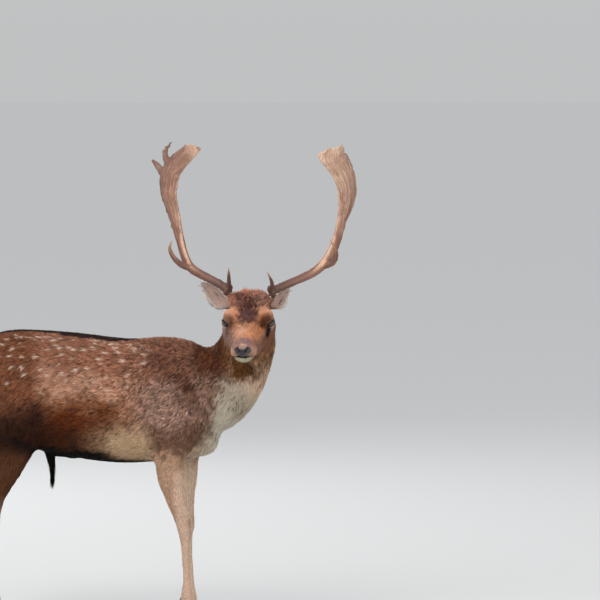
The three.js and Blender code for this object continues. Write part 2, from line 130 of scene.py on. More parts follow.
# Meshes are read and written as arrays of points, in millimetres.
def pointsOf(mesh):
    flat = np.empty(len(mesh.vertices) * 3)
    mesh.vertices.foreach_get("co", flat)
    return flat.reshape(-1, 3) * 1000 - bodyAt


def setPoints(mesh, points):
    mesh.vertices.foreach_set("co", ((points + bodyAt) / 1000).ravel())
    mesh.update()


def trianglesOf(mesh):
    mesh.calc_loop_triangles()
    flat = np.empty(len(mesh.loop_triangles) * 3, int)
    mesh.loop_triangles.foreach_get("vertices", flat)
    return flat.reshape(-1, 3)


def normalsOf(points, triangles):
    a, b, c = points[triangles.T]
    facing = np.cross(b - a, c - a)
    total = np.zeros_like(points)
    for k in range(3):
        for axis in range(3):
            total[:, axis] += np.bincount(triangles[:, k], facing[:, axis], len(points))
    return unit(total)


class Web:  # the points of a mesh and which of them are joined
    def __init__(self, mesh):
        self.count = len(mesh.vertices)
        ends = np.empty(len(mesh.edges) * 2, int)
        mesh.edges.foreach_get("vertices", ends)
        ends = ends.reshape(-1, 2)
        self.near = np.concatenate([ends[:, 0], ends[:, 1]])
        self.far = np.concatenate([ends[:, 1], ends[:, 0]])
        self.degree = np.maximum(np.bincount(self.near, minlength=self.count), 1)

    def mean(self, values):  # average of each point's neighbours
        if values.ndim == 1:
            return np.bincount(self.near, values[self.far], self.count) / self.degree
        return np.stack([self.mean(values[:, k]) for k in range(values.shape[1])], 1)

    def spread(self, values, rounds, share=1.0):
        for _ in range(rounds):
            values = values + (self.mean(values) - values) * share
        return values


def meshObject(name, mesh, finish=None):
    made = bpy.data.objects.new(name, mesh)
    bpy.context.scene.collection.objects.link(made)
    if finish:
        mesh.materials.clear()
        mesh.materials.append(finish)
        mesh.polygons.foreach_set("material_index", np.zeros(len(mesh.polygons), int))
    return made


def fromArrays(name, points, faces):
    mesh = bpy.data.meshes.new(name)
    mesh.vertices.add(len(points))
    setPoints(mesh, points)
    faces = np.asarray(faces)
    mesh.loops.add(faces.size)
    mesh.loops.foreach_set("vertex_index", faces.ravel())
    mesh.polygons.add(len(faces))
    mesh.polygons.foreach_set("loop_start", np.arange(len(faces)) * faces.shape[1])
    mesh.update(calc_edges=True)
    return mesh


def putValues(mesh, name, values):  # a value at each point, which the finishes read by its name
    kind = "FLOAT" if values.ndim == 1 else "FLOAT_COLOR"
    if values.ndim == 2 and values.shape[1] == 3:
        values = np.concatenate([values, np.ones((len(values), 1))], 1)
    spot = mesh.attributes.new(name, kind, "POINT")
    spot.data.foreach_set("value" if kind == "FLOAT" else "color", values.astype(np.float32).ravel())


def dressed(mesh, tone):  # smooth, with its own colour at each point
    mesh.polygons.foreach_set("use_smooth", np.ones(len(mesh.polygons), bool))
    putValues(mesh, "tone", tone)


def putUnwrap(mesh, spots):  # where each point lies on the map that finishes are baked to
    corners = np.empty(len(mesh.loops), int)
    mesh.loops.foreach_get("vertex_index", corners)
    mesh.uv_layers.new(name="OFBake").data.foreach_set("uv", spots[corners].astype(np.float32).ravel())


def applied(thing, name, kind, **settings):  # the mesh after one modifier
    modifier = thing.modifiers.new(name, kind)
    for key, value in settings.items():
        setattr(modifier, key, value)
    seen = bpy.context.evaluated_depsgraph_get()
    mesh = bpy.data.meshes.new_from_object(thing.evaluated_get(seen))
    thing.modifiers.clear()
    return mesh


def clayOf(names, voxel, swell=1.2):  # one closed mesh of even quads around copies of these nodes
    allPoints, allFaces, start = [], [], 0
    for name in names:
        work = bmesh.new()
        work.from_mesh(nodes[name].data)
        bmesh.ops.remove_doubles(work, verts=work.verts, dist=1e-5)
        bmesh.ops.triangulate(work, faces=work.faces)
        points = np.array([v.co for v in work.verts]) * 1000 - bodyAt
        faces = np.array([[v.index for v in f.verts] for f in work.faces])
        work.free()
        allPoints.append(points + normalsOf(points, faces) * swell)
        allFaces.append(faces + start)
        start += len(points)
    rough = meshObject("clay", fromArrays("clay", np.concatenate(allPoints), np.concatenate(allFaces)))
    mesh = applied(rough, "clay", "REMESH", mode="VOXEL", voxel_size=voxel / 1000)
    bpy.data.objects.remove(rough)
    return mesh


def finer(mesh, chosen):  # splits each chosen face in four
    work = bmesh.new()
    work.from_mesh(mesh)
    work.faces.ensure_lookup_table()
    edges = {e for i in np.flatnonzero(chosen) for e in work.faces[i].edges}
    bmesh.ops.subdivide_edges(work, edges=list(edges), cuts=1, use_grid_fill=True)
    many = [f for f in work.faces if len(f.verts) > 4]
    bmesh.ops.triangulate(work, faces=many)
    work.to_mesh(mesh)
    work.free()


def facedOut(mesh):  # turns a closed mesh round if its faces look inward
    a, b, c = pointsOf(mesh)[trianglesOf(mesh).T]
    if (np.cross(a, b) * c).sum() < 0:
        mesh.flip_normals()
    return mesh


def faceMiddles(mesh):
    flat = np.empty(len(mesh.polygons) * 3)
    mesh.polygons.foreach_get("center", flat)
    return flat.reshape(-1, 3) * 1000 - bodyAt


# The skin, and the forms of the body under it.
legNames = ("foreleg_right", "foreleg_left", "hindleg_right", "hindleg_left")
legPieces = {"foreleg": ("forearm", "cannon", "pastern"), "hindleg": ("gaskin", "cannon", "pastern")}
limbNodes = [f"{leg}_{piece}" for leg in legNames for piece in legPieces[leg.split("_")[0]]]
trunkNodes = ["head", "neck", "chest", "belly", "haunches"]
skinNodes = trunkNodes + limbNodes
fleshNodes = skinNodes + ["tail", "ear_right", "ear_left"]

# How far the skin lies under the tips of the coat, by the piece it is in.
coatDepth = {
    "head": 1.8, "neck": 7.0, "chest": 5.0, "belly": 4.0, "haunches": 5.0,
    "forearm": 2.8, "gaskin": 3.0, "cannon": 1.8, "pastern": 2.2,
}

# Swellings and hollows of the body: from, to, radius, height. Each is made on both sides.
bodyForms = [
    ((-32, 62, 838), (52, 92, 668), 15, 4.5),  # spine of the shoulder blade
    ((-78, 98, 800), (-92, 128, 620), 17, -5),  # hollow behind the shoulder
    ((-46, 112, 700), (-36, 114, 610), 32, 5),  # triceps
    ((84, 66, 650), (74, 76, 622), 20, 6),  # point of the shoulder
    ((-66, 96, 566), (-58, 96, 548), 12, 5),  # elbow
    ((16, 116, 560), (28, 108, 470), 15, 4),  # extensor muscles of the forearm
    ((-10, 114, 540), (-8, 104, 440), 6, -2.5),  # groove behind them
    ((-392, 112, 770), (-372, 138, 690), 34, -8),  # hollow of the flank
    ((-432, 84, 850), (-442, 92, 826), 18, 5),  # point of the hip
    ((-424, 138, 660), (-432, 132, 590), 24, 5),  # stifle
    ((-384, 132, 640), (-392, 112, 560), 11, -5),  # fold before it
    ((-628, 92, 770), (-606, 132, 620), 13, -4.5),  # groove between the thigh's muscles
    ((-520, 132, 740), (-500, 140, 640), 40, 5),  # thigh
    ((-668, 60, 760), (-662, 78, 640), 22, 4),  # hamstrings
    ((-664, 20, 800), (-690, 24, 740), 14, 3),  # seat bone
]
ribs = {"count": 9, "first": -118, "spacing": 27, "lean": -34, "radius": 6.5, "height": 1.1}
backbone = ((-600, 0, 872), (-140, 0, 868), 11, 1.6)
paunch = ((-330, 0, 500), (-190, 0, 488), 70, 5)
sheath = ((-330, 0, 497), (-386, 0, 512), 15, 9)

# The same on a leg, measured from the hoof's own place: along X, outwards, height.
legForms = {
    "foreleg": [
        ((0, 0, 302), (0, 0, 296), 15, 2.2),  # knee
        ((-10, 12, 272), (-14, 10, 150), 4.5, -1.6),  # between bone and tendons
        ((-10, -12, 272), (-14, -10, 150), 4.5, -1.6),
        ((-6, 0, 96), (-8, 0, 90), 15, 1.8),  # fetlock
    ],
    "hindleg": [
        ((-62, 0, 362), (-54, 0, 344), 12, 3),  # point of the hock
        ((-46, 13, 470), (-52, 11, 388), 9, -6),  # hollow before the great tendon
        ((-46, -13, 470), (-52, -11, 388), 9, -6),
        ((-16, 12, 262), (-20, 10, 150), 4.5, -1.8),
        ((-16, -12, 262), (-20, -10, 150), 4.5, -1.8),
        ((-6, 0, 96), (-8, 0, 90), 15, 1.8),
    ],
}
outward = {"right": -1, "left": 1}

# Forms of the head, in the skull's frame.
headForms = [
    ((74, 62, -7), (118, 57, -16), 7, 4.2),  # rim of the eye socket
    ((112, 66, -52), (40, 75, -58), 8, 3.0),  # cheekbone
    ((168, 48, -58), (124, 62, -54), 8, 2.0),  # its front end
    ((58, 70, -100), (92, 66, -96), 22, 2.5),  # jaw muscle
    ((128, 62, -92), (158, 52, -84), 11, -1.6),  # hollow before it
    ((62, 62, -6), (40, 62, -14), 8, -2.5),  # temple
    ((130, 24, 2), (240, 19, -12), 7, 1.6),  # edges of the nose bone
    ((160, 44, -26), (226, 36, -34), 9, -3),  # hollow beside the nose
    ((266, 31, -48), (250, 34, -52), 9, 2.4),  # upper lip
    ((279, 25, -24), (268, 29, -30), 6, 3),  # wing of the nostril
    ((284, 22, -33), (272, 31, -25), 2.4, -4.0),  # slit behind the nostril
    ((126, 56, -22), (160, 46, -22), 12, -8),  # hollow before the eye
    ((146, 40, -10), (200, 32, -14), 9, -3),  # and on beside the bridge
    ((122, 54, -42), (142, 55, -60), 4.5, -5),  # tear gland below the eye's front corner
    ((60, 18, -132), (190, 12, -97), 10, -3.5),  # between the jaw bones
    ((276, 0, -66), (268, 18, -69), 7, 2.4),  # lower lip
    ((264, 12, -83), (250, 12, -86), 9, 1.6),  # chin
]
mouth = {"line": [(290, 0, -53), (283, 14, -54), (270, 27, -59), (248, 35, -64), (216, 42, -64)],
         "radius": 1.8, "depth": 3.8}

eyeShape = {
    "gaze": (0.58, 0.80, 0.10), "radius": 16.5, "inset": 2.4,
    "tilt": -10,  # degrees that the front corner drops
    "halfLength": 14.2, "above": 7.2, "below": 5.6, "roundness": 1.7,
    "lid": 1.7, "rim": 0.9, "reach": 30,
}


def eyeAt(side):
    return np.array(skull["eye"]) * (1, side, 1) - (0, side * eyeShape["inset"], 0)


def eyeWays(side):  # the eye's own axes: to its front corner, up, and out
    mirror = np.array([1, side, 1])
    out = unit(np.array(eyeShape["gaze"]) * mirror)
    ahead = unit(np.array([1.0, 0, 0]) - out[0] * out)
    up = np.cross(ahead, out) * -side
    up = up if up[2] > 0 else -up
    turn = math.radians(eyeShape["tilt"])
    return ahead * math.cos(turn) + up * math.sin(turn), up * math.cos(turn) - ahead * math.sin(turn), out


def eyePlace(points, side):  # on-skull points in the eye's axes, and millimetres inside the lids' opening
    ahead, up, out = eyeWays(side)
    away = points - eyeAt(side)
    x, y, z = away @ ahead, away @ up, away @ out
    tall = np.where(y > 0, eyeShape["above"], eyeShape["below"])
    power = eyeShape["roundness"]
    corner = np.abs(x / eyeShape["halfLength"]) ** power + np.abs(y / tall) ** power
    inside = (1 - corner ** (1 / power)) * 8
    return away, np.stack([x, y, z], 1), inside


def withLids(points, side):  # wraps the skin over the eyeball and opens it between the lids
    away, place, inside = eyePlace(points, side)
    far = np.linalg.norm(away, axis=1)
    radius = eyeShape["radius"]
    near = (far < eyeShape["reach"]) & (place[:, 2] > -2)
    onLid = radius + eyeShape["lid"] + eyeShape["rim"] * np.exp(-0.5 * ((inside + 1.0) / 1.1) ** 2)
    hug = smoothstep(inside, -9, -1.5)  # only the lids themselves hold close to the ball
    wanted = np.maximum(far, onLid) * (1 - hug) + onLid * hug
    wanted = np.where(inside > 0.2, radius - 2.6, wanted)
    return np.where(near[:, None], points + away / far[:, None] * (wanted - far)[:, None], points)


def formed(points, normals, forms, mirror=(1, 1, 1)):
    rise = np.zeros(len(points))
    for a, b, radius, height in forms:
        rise += height * ridge(points, np.array(a) * mirror, np.array(b) * mirror, radius)
    return normals * rise[:, None]


def partOf(points, names):  # which of the named pieces lies nearest to each point
    owner, corners, faces, start = [], [], [], 0
    for name in names:
        mesh = nodes[name].data
        corners.append(pointsOf(mesh))
        faces.append(trianglesOf(mesh) + start)
        start += len(mesh.vertices)
        owner += [names.index(name)] * len(faces[-1])
    tree = BVHTree.FromPolygons(np.concatenate(corners).tolist(), np.concatenate(faces).tolist())
    return np.array([owner[tree.find_nearest(p)[2]] for p in points.tolist()])


def tableRows(table, names):  # a table's row for each node, which is listed under one of its words
    words = [(name, name.split("_")[-1], name.split("_")[0]) for name in names]
    return np.array([next(table[w] for w in group if w in table) for group in words], float)


skinMaking = {
    "voxel": 6.4,
    # rounds of smoothing, which take the flat facets off the solids' rounder forms
    "trunk": 110, "neck": 60, "leg": 9, "head": 7, "stump": 60,
    "skullTop": 32,  # height of the skull under the antlers
}


def roughSkin():
    mesh = clayOf(skinNodes + ["eye_right", "eye_left", "nose_pad"], skinMaking["voxel"])
    web = Web(mesh)
    points = pointsOf(mesh)
    h = onSkull(points)
    # what is left of the antlers' feet is pressed down on the skull
    x, y, z = h[:, 0], np.abs(h[:, 1]), h[:, 2]
    top = skinMaking["skullTop"]
    stump = (y > 38) & (y < 90) & (x > 8) & (x < 66) & (z > top)
    h[:, 2] = np.where(stump, top + (z - top) * 0.08, z)
    points = np.where(stump[:, None], offSkull(h), points)
    head = smoothstep(h[:, 0], -45, 5) * (points[:, 2] > 840)
    leg = smoothstep(points[:, 2], 560, 430)
    neck = smoothstep(points[:, 0], 90, 170) * (1 - head)
    rounds = skinMaking["trunk"] + (skinMaking["neck"] - skinMaking["trunk"]) * neck
    rounds += (skinMaking["leg"] - rounds) * leg
    rounds += (skinMaking["head"] - rounds) * head
    # the stumps of ears and antlers melt into mounds
    for side in (1, -1):
        ear = blob(h, (4, side * 58, -10), (16, 16, 18))
        antler = blob(h, (34, side * 58, 44), (14, 18, 10))
        rounds += skinMaking["stump"] * ear + skinMaking["stump"] * antler
    for i in range(int(rounds.max())):
        points = web.spread(points, 1, 0.5 * np.clip(rounds - i, 0, 1)[:, None])
    setPoints(mesh, points)
    return mesh


def sharpened(mesh):  # more points where the head has its small forms
    for level in (1, 2, 3):
        h = onSkull(faceMiddles(mesh))
        onHead = (h[:, 0] > -40) & (h[:, 2] > -145) & (np.abs(h[:, 1]) < 92)
        eyes = [np.linalg.norm(h - eyeAt(s), axis=1) for s in (1, -1)]
        byEye = np.minimum(*eyes)
        tear = np.maximum(*(ridge(h, (112, s * 54, -40), (142, s * 53, -60), 7) for s in (1, -1)))
        if level == 1:
            chosen = onHead
        elif level == 2:
            chosen = onHead & ((byEye < 30) | (tear > 0.4) | (h[:, 0] > 236))
        else:
            chosen = onHead & (byEye < 21)
        finer(mesh, chosen)
        web = Web(mesh)
        points = pointsOf(mesh)
        near = (onSkull(points)[:, 0] > -45) & (points[:, 2] > 800)
        setPoints(mesh, web.spread(points, 3, 0.4 * near[:, None]))
    return mesh


def sunk(mesh, points):  # the skin, drawn in from the tips of the coat
    web = Web(mesh)
    parts = partOf(points, skinNodes)
    depth = web.spread(tableRows(coatDepth, skinNodes)[parts], 10)
    h = onSkull(points)
    depth += 10 * blob(h, (30, 0, 30), (26, 36, 22)) * smoothstep(h[:, 2], 6, 22)
    facing = unit(web.spread(normalsOf(points, trianglesOf(mesh)), 4))
    return points - facing * depth[:, None]


def withBodyForms(points, triangles):
    normals = normalsOf(points, triangles)
    points = points + formed(points, normals, [backbone, paunch, sheath])
    for side in (1, -1):
        points = points + formed(points, normals, bodyForms, (1, side, 1))
        for i in range(ribs["count"]):
            x = ribs["first"] - i * ribs["spacing"]
            ends = (x, side * 110, 800), (x + ribs["lean"], side * 150, 590)
            points = points + formed(points, normals, [(*ends, ribs["radius"], ribs["height"])])
    for leg in legNames:
        kind, side = leg.split("_")
        foot = (middleOf(f"{leg}_claw_outer") + middleOf(f"{leg}_claw_inner")) / 2 - bodyAt
        place = (points - [foot[0], foot[1], 0]) * (1, outward[side], 1)
        near = (np.abs(place[:, 0]) < 110) & (np.abs(place[:, 1]) < 60) & (points[:, 2] < 500)
        points = points + formed(place, normals, legForms[kind]) * near[:, None]
    return points


def crownOf(h):  # 1 where the curled hair between the antlers grows
    x, y, z = h.T
    x = x + 5 * Noise(26, 12)(h)
    front = 92 - 22 * smoothstep(np.abs(y + 3), 10, 40) + 4 * Noise(13, 15)(h * (0, 1, 0))
    behind = smoothstep(x, front, front - 14)
    return behind * smoothstep(z, 0, 14) * smoothstep(np.abs(y), 62, 48) * (x > -34)


padNarrows = 0.36  # how much the nose pad narrows downward


def padPlace(h):  # from the nose pad's middle, in shares of its half size; it narrows downward
    away = (h - np.array(skull["nosePad"])) / (10, 26, 17)
    narrow = 1 - padNarrows * smoothstep(away[:, 2], 0.4, -0.7)
    return away / np.stack([np.ones_like(narrow), narrow, np.ones_like(narrow)], 1)


def withHeadForms(points, triangles):
    h = onSkull(points)
    normals = normalsOf(points, triangles) @ skullWays.T
    rise = np.zeros_like(h)
    for side in (1, -1):
        rise += formed(h, normals, headForms, (1, side, 1))
        line = np.array(mouth["line"]) * (1, side, 1)
        cuts = [ridge(h, a, b, mouth["radius"]) for a, b in zip(line, line[1:])]
        rise -= normals * (np.max(cuts, axis=0) * mouth["depth"])[:, None]
    rise += normals * (crownOf(h) * (2.6 * Noise(21, 13)(h) + 1.2 * Noise(11, 14)(h)))[:, None]
    onHead = ((points[:, 2] > 800) & (h[:, 0] > -60))[:, None]
    h = h + rise * onHead
    for side in (1, -1):
        h = np.where(onHead, withLids(h, side), h)
    # the muzzle is drawn in under the nose pad
    inPad = np.linalg.norm(padPlace(h), axis=1)[:, None]
    h = h - (26, 0, 0) * np.clip(1 - inPad, 0, 0.5) * onHead
    return np.where(onHead, offSkull(h), points)


# Ears and tail are made apart and joined to the skin.
def alongTable(rows, at):  # rows of numbers, blended smoothly by their first one
    rows = np.array(rows, float)
    keys = rows[:, 0]
    slopes = np.gradient(rows, keys, axis=0)
    i = np.clip(np.searchsorted(keys, at, side="right") - 1, 0, len(rows) - 2)
    width = (keys[i + 1] - keys[i])[..., None]
    t = (at - keys[i])[..., None] / width
    ease = t * t * (3 - 2 * t)
    rise = (t * (1 - t) ** 2 * slopes[i] - t * t * (1 - t) * slopes[i + 1]) * width
    return rows[i] * (1 - ease) + rows[i + 1] * ease + rise


ears = {
    # share of the length, radius of the cup, half the angle that it closes round
    "rows": [(-0.2, 9, 2.8), (0, 13.5, 2.6), (0.12, 19, 2.3), (0.28, 27.5, 1.85), (0.48, 29, 1.5),
             (0.68, 23, 1.25), (0.86, 13, 1.1), (1, 3.5, 0.9)],
    "right": {"root": (10, -52, -16), "tip": (-95, -156, 6), "size": 1},
    "left": {"root": (10, 52, -18), "tip": (-112, 104, -20), "size": 0.82},
    "from": -0.2, "to": 0.985,  # the root lies in the skull
    "wall": 3.2, "bow": 0.55, "steps": 44, "arcs": 34,
    "opening": (0.85, 0.25, 0.1),
}


def earAxes(side):  # an ear's root, its tip, and its own axes: along it, out of its cup, and across
    shape = ears["left" if side > 0 else "right"]
    root, tip = offSkull(shape["root"]), offSkull(shape["tip"])
    axis = unit(tip - root)
    opening = skullWay(np.array(ears["opening"]) * (1, side, 1))
    opening = unit(opening - (opening @ axis) * axis)
    return root, tip, axis, opening, np.cross(axis, opening)


def earCup(side, u, lowest):  # the cup's middle, its radius and half its angle, by the share of its length
    root, tip, _, opening, _ = earAxes(side)
    _, radius, wrap = alongTable(ears["rows"], np.clip(u, ears["from"], 1)).T
    radius = radius * ears["left" if side > 0 else "right"]["size"]
    bow = radius * ears["bow"] * np.sin(np.clip(u, 0, 1) * math.pi)
    return root + np.clip(u, lowest, 1)[:, None] * (tip - root) + opening * bow[:, None], radius, wrap


def earMesh(side):
    _, _, _, opening, across = earAxes(side)
    steps, arcs = ears["steps"], ears["arcs"]
    lengthways = np.linspace(ears["from"], ears["to"], steps + 1)
    u, v = (grid.ravel() for grid in np.meshgrid(lengthways, np.linspace(-1, 1, arcs + 1), indexing="ij"))
    spine, radius, wrap = earCup(side, u, ears["from"])
    # folds run down the inside
    walls = []
    for wall in (0.0, ears["wall"]):
        thin = wall * (0.5 + 0.5 * (1 - u)) * (1 - 0.45 * np.abs(v) ** 3)
        fold = 0.9 * np.sin(v * 9) * smoothstep(u, 0, 0.2) * (1 - smoothstep(u, 0.5, 0.9)) * (wall > 0)
        reach = (radius - thin - fold)[:, None]
        angle = (v * wrap)[:, None]
        walls.append(spine + across * reach * np.sin(angle) - opening * reach * np.cos(angle))
    row, half = arcs + 1, (steps + 1) * (arcs + 1)
    faces = []
    for i in range(steps):
        for j in range(arcs):
            a = i * row + j
            faces.append((a, a + 1, a + row + 1, a + row))
            faces.append((half + a, half + a + row, half + a + row + 1, half + a + 1))
        a, b = i * row, i * row + arcs
        faces.append((a, a + row, half + a + row, half + a))
        faces.append((b, half + b, half + b + row, b + row))
    for j in range(arcs):
        a, b = j, steps * row + j
        faces.append((a, half + a, half + a + 1, a + 1))
        faces.append((b, b + 1, half + b + 1, half + b))
    return facedOut(fromArrays("ear", np.concatenate(walls), faces))


tailBone = [(-640, 0, 792, 18), (-672, 0, 802, 15), (-700, 0, 792, 12), (-716, 0, 762, 10),
            (-722, 0, 715, 8), (-722, 0, 660, 6), (-717, 0, 618, 3)]  # place and radius


def tubeMesh(name, rows, sides):  # a round closed tube through places with their own radius
    rows = np.array(rows, float)
    spine, radii = rows[:, :3], rows[:, 3]
    ways = unit(np.gradient(spine, axis=0))
    side = np.array([0, 1.0, 0])
    up = unit(np.cross(ways, side))
    side = np.cross(up, ways)
    turn = np.arange(sides) * 2 * math.pi / sides
    rings = spine[:, None] + radii[:, None, None] * (
        side[:, None] * np.cos(turn)[:, None] + up[:, None] * np.sin(turn)[:, None]
    )
    count = len(rows)
    points = np.concatenate([rings.reshape(-1, 3), spine[:1] - ways[:1] * radii[0] * 0.5,
                             spine[-1:] + ways[-1:] * radii[-1] * 0.8])
    faces = []
    for i in range(count - 1):
        for j in range(sides):
            a, b = i * sides + j, i * sides + (j + 1) % sides
            faces += [(a, b, b + sides), (a, b + sides, a + sides)]
    first, last, end = count * sides, count * sides + 1, (count - 1) * sides
    for j in range(sides):
        faces += [(first, (j + 1) % sides, j), (last, end + j, end + (j + 1) % sides)]
    return facedOut(fromArrays(name, points, faces))


def refinedRows(rows, parts):
    rows = np.array(rows, float)
    keyed = np.concatenate([np.arange(len(rows))[:, None], rows], 1)
    return alongTable(keyed, np.linspace(0, len(rows) - 1, (len(rows) - 1) * parts + 1))[:, 1:]


def joinedTo(skin, mesh):
    added, body = meshObject("added", mesh), meshObject("body", skin)
    whole = applied(body, "join", "BOOLEAN", operation="UNION", solver="MANIFOLD", object=added)
    bpy.data.objects.remove(added)
    bpy.data.objects.remove(body)
    return whole


def skinMesh():
    mesh = sharpened(roughSkin())
    points = sunk(mesh, pointsOf(mesh))
    points = withBodyForms(points, trianglesOf(mesh))
    points = withHeadForms(points, trianglesOf(mesh))
    setPoints(mesh, points)
    for side in (1, -1):
        mesh = joinedTo(mesh, earMesh(side))
    mesh = joinedTo(mesh, tubeMesh("tail", refinedRows(tailBone, 4), 14))
    points = pointsOf(mesh)
    h = onSkull(points)
    roots = [blob(h, (0, side * 62, -16), (12, 14, 16)) for side in (1, -1)]
    roots.append(blob(points, (-684, 0, 796), (14, 30, 24)))
    share = np.clip(np.max(roots, axis=0) * 1.5, 0, 0.6)[:, None]
    setPoints(mesh, Web(mesh).spread(points, 8, share))
    print(f"skin: {len(mesh.polygons)} faces")
    return mesh


# Colours of the coat, for the skin and the tufts alike. Each is red, green and blue as a screen shows
# them, out of 255.
tones = {
    "back": (138, 92, 71), "flank": (173, 129, 105), "tan": (126, 80, 54), "rust": (89, 39, 8),
    "deepRust": (58, 26, 8), "black": (9, 5, 3), "cream": (190, 160, 126), "spot": (222, 200, 182),
    "haunch": (115, 71, 48), "thigh": (62, 35, 21), "thighDarkAndFoldShade": (38, 17, 8),
    "shoulder": (154, 120, 104), "shoulderDark": (92, 58, 44), "withers": (138, 94, 74),
    "arm": (116, 86, 68), "nape": (94, 54, 32), "neck": (128, 98, 82), "bib": (196, 186, 168),
    "bibShade": (150, 136, 116), "throatPale": (212, 180, 152), "throat": (140, 98, 68),
    "chinShade": (102, 66, 32), "leg": (182, 146, 120), "legInside": (216, 192, 166),
    "legFront": (216, 184, 162), "shank": (84, 52, 32), "rump": (232, 224, 210),
    "cheek": (134, 102, 90), "jaw": (134, 91, 70), "jawLeft": (122, 76, 56), "bridge": (198, 132, 94),
    "bridgePale": (206, 158, 130), "brow": (216, 156, 122), "forehead": (80, 53, 52),
    "crown": (172, 118, 102), "crownTip": (226, 160, 126), "crownGrey": (158, 130, 116),
    "darkHairAndShade": (46, 25, 22), "band": (146, 112, 106), "muzzle": (158, 122, 106),
    "muzzleTan": (206, 158, 132), "lip": (180, 172, 148), "lid": (34, 24, 22),
    "underEye": (176, 150, 138), "eyeShadeAndMottle": (74, 38, 16), "earBack": (148, 118, 102),
    "earInside": (198, 168, 156), "earRim": (218, 202, 190),
}


def toneOf(name):
    shown = np.array(tones[name]) / 255
    return np.where(shown <= 0.04045, shown / 12.92, ((shown + 0.055) / 1.055) ** 2.4)


class Paint:  # a colour at each point, with tones laid one over another
    def __init__(self, name, count):
        self.colours = np.tile(toneOf(name), (count, 1))

    def lay(self, name, mask):
        mask = np.clip(mask, 0, 1)[:, None]
        self.colours = self.colours + (toneOf(name) - self.colours) * mask


spotRows = {
    # How far down the flank each row runs from the backbone, the gap between its spots, and the share
    # of them that are there.
    "rows": [(57, 23, 0.85), (70, 30, 0.7), (84, 35, 0.6), (98, 36, 0.85), (124, 38, 0.8),
             (150, 40, 0.75), (173, 42, 0.6), (197, 45, 0.5), (226, 52, 0.35)],
    "from": -72, "to": -668, "shift": 14,  # along the body, and how far every second row is shifted
    "long": 5.0, "tall": 3.0, "sizes": (0.6, 1.35),
    "scatter": (6, 5), "climb": 0.02 / 3,  # a row rises towards the tail
}


def spotPlaces():  # x, distance down the flank and size of every white spot
    dice = np.random.default_rng(11)
    places = []
    for row, (down, gap, share) in enumerate(spotRows["rows"]):
        for x in np.arange(spotRows["from"] - spotRows["shift"] * (row % 2), spotRows["to"], -gap):
            if dice.random() < share:
                low = down - spotRows["climb"] * (x + 350) * row
                along, across = spotRows["scatter"]
                place = x + dice.normal() * along, low + dice.normal() * across
                places.append((*place, dice.uniform(*spotRows["sizes"])))
    return np.array(places)


def spotMask(points, top):
    down = np.hypot(points[:, 1], np.maximum(top - points[:, 2], 0) * 1.08)
    mask = np.zeros(len(points))
    for x, d, size in spotPlaces():
        near = np.abs(points[:, 0] - x) < 24
        away = ((points[near, 0] - x) / (spotRows["long"] * size)) ** 2
        away += ((down[near] - d) / (spotRows["tall"] * size)) ** 2
        mask[near] = np.maximum(mask[near], np.exp(-0.5 * away ** 1.3) * min(size + 0.1, 1))
    return mask


def topLine(x):  # height of the back
    rows = [(-700, 740), (-650, 826), (-600, 854), (-540, 874), (-420, 878), (-260, 864), (-110, 854),
            (0, 862), (60, 846)]
    return np.interp(x, *zip(*rows))


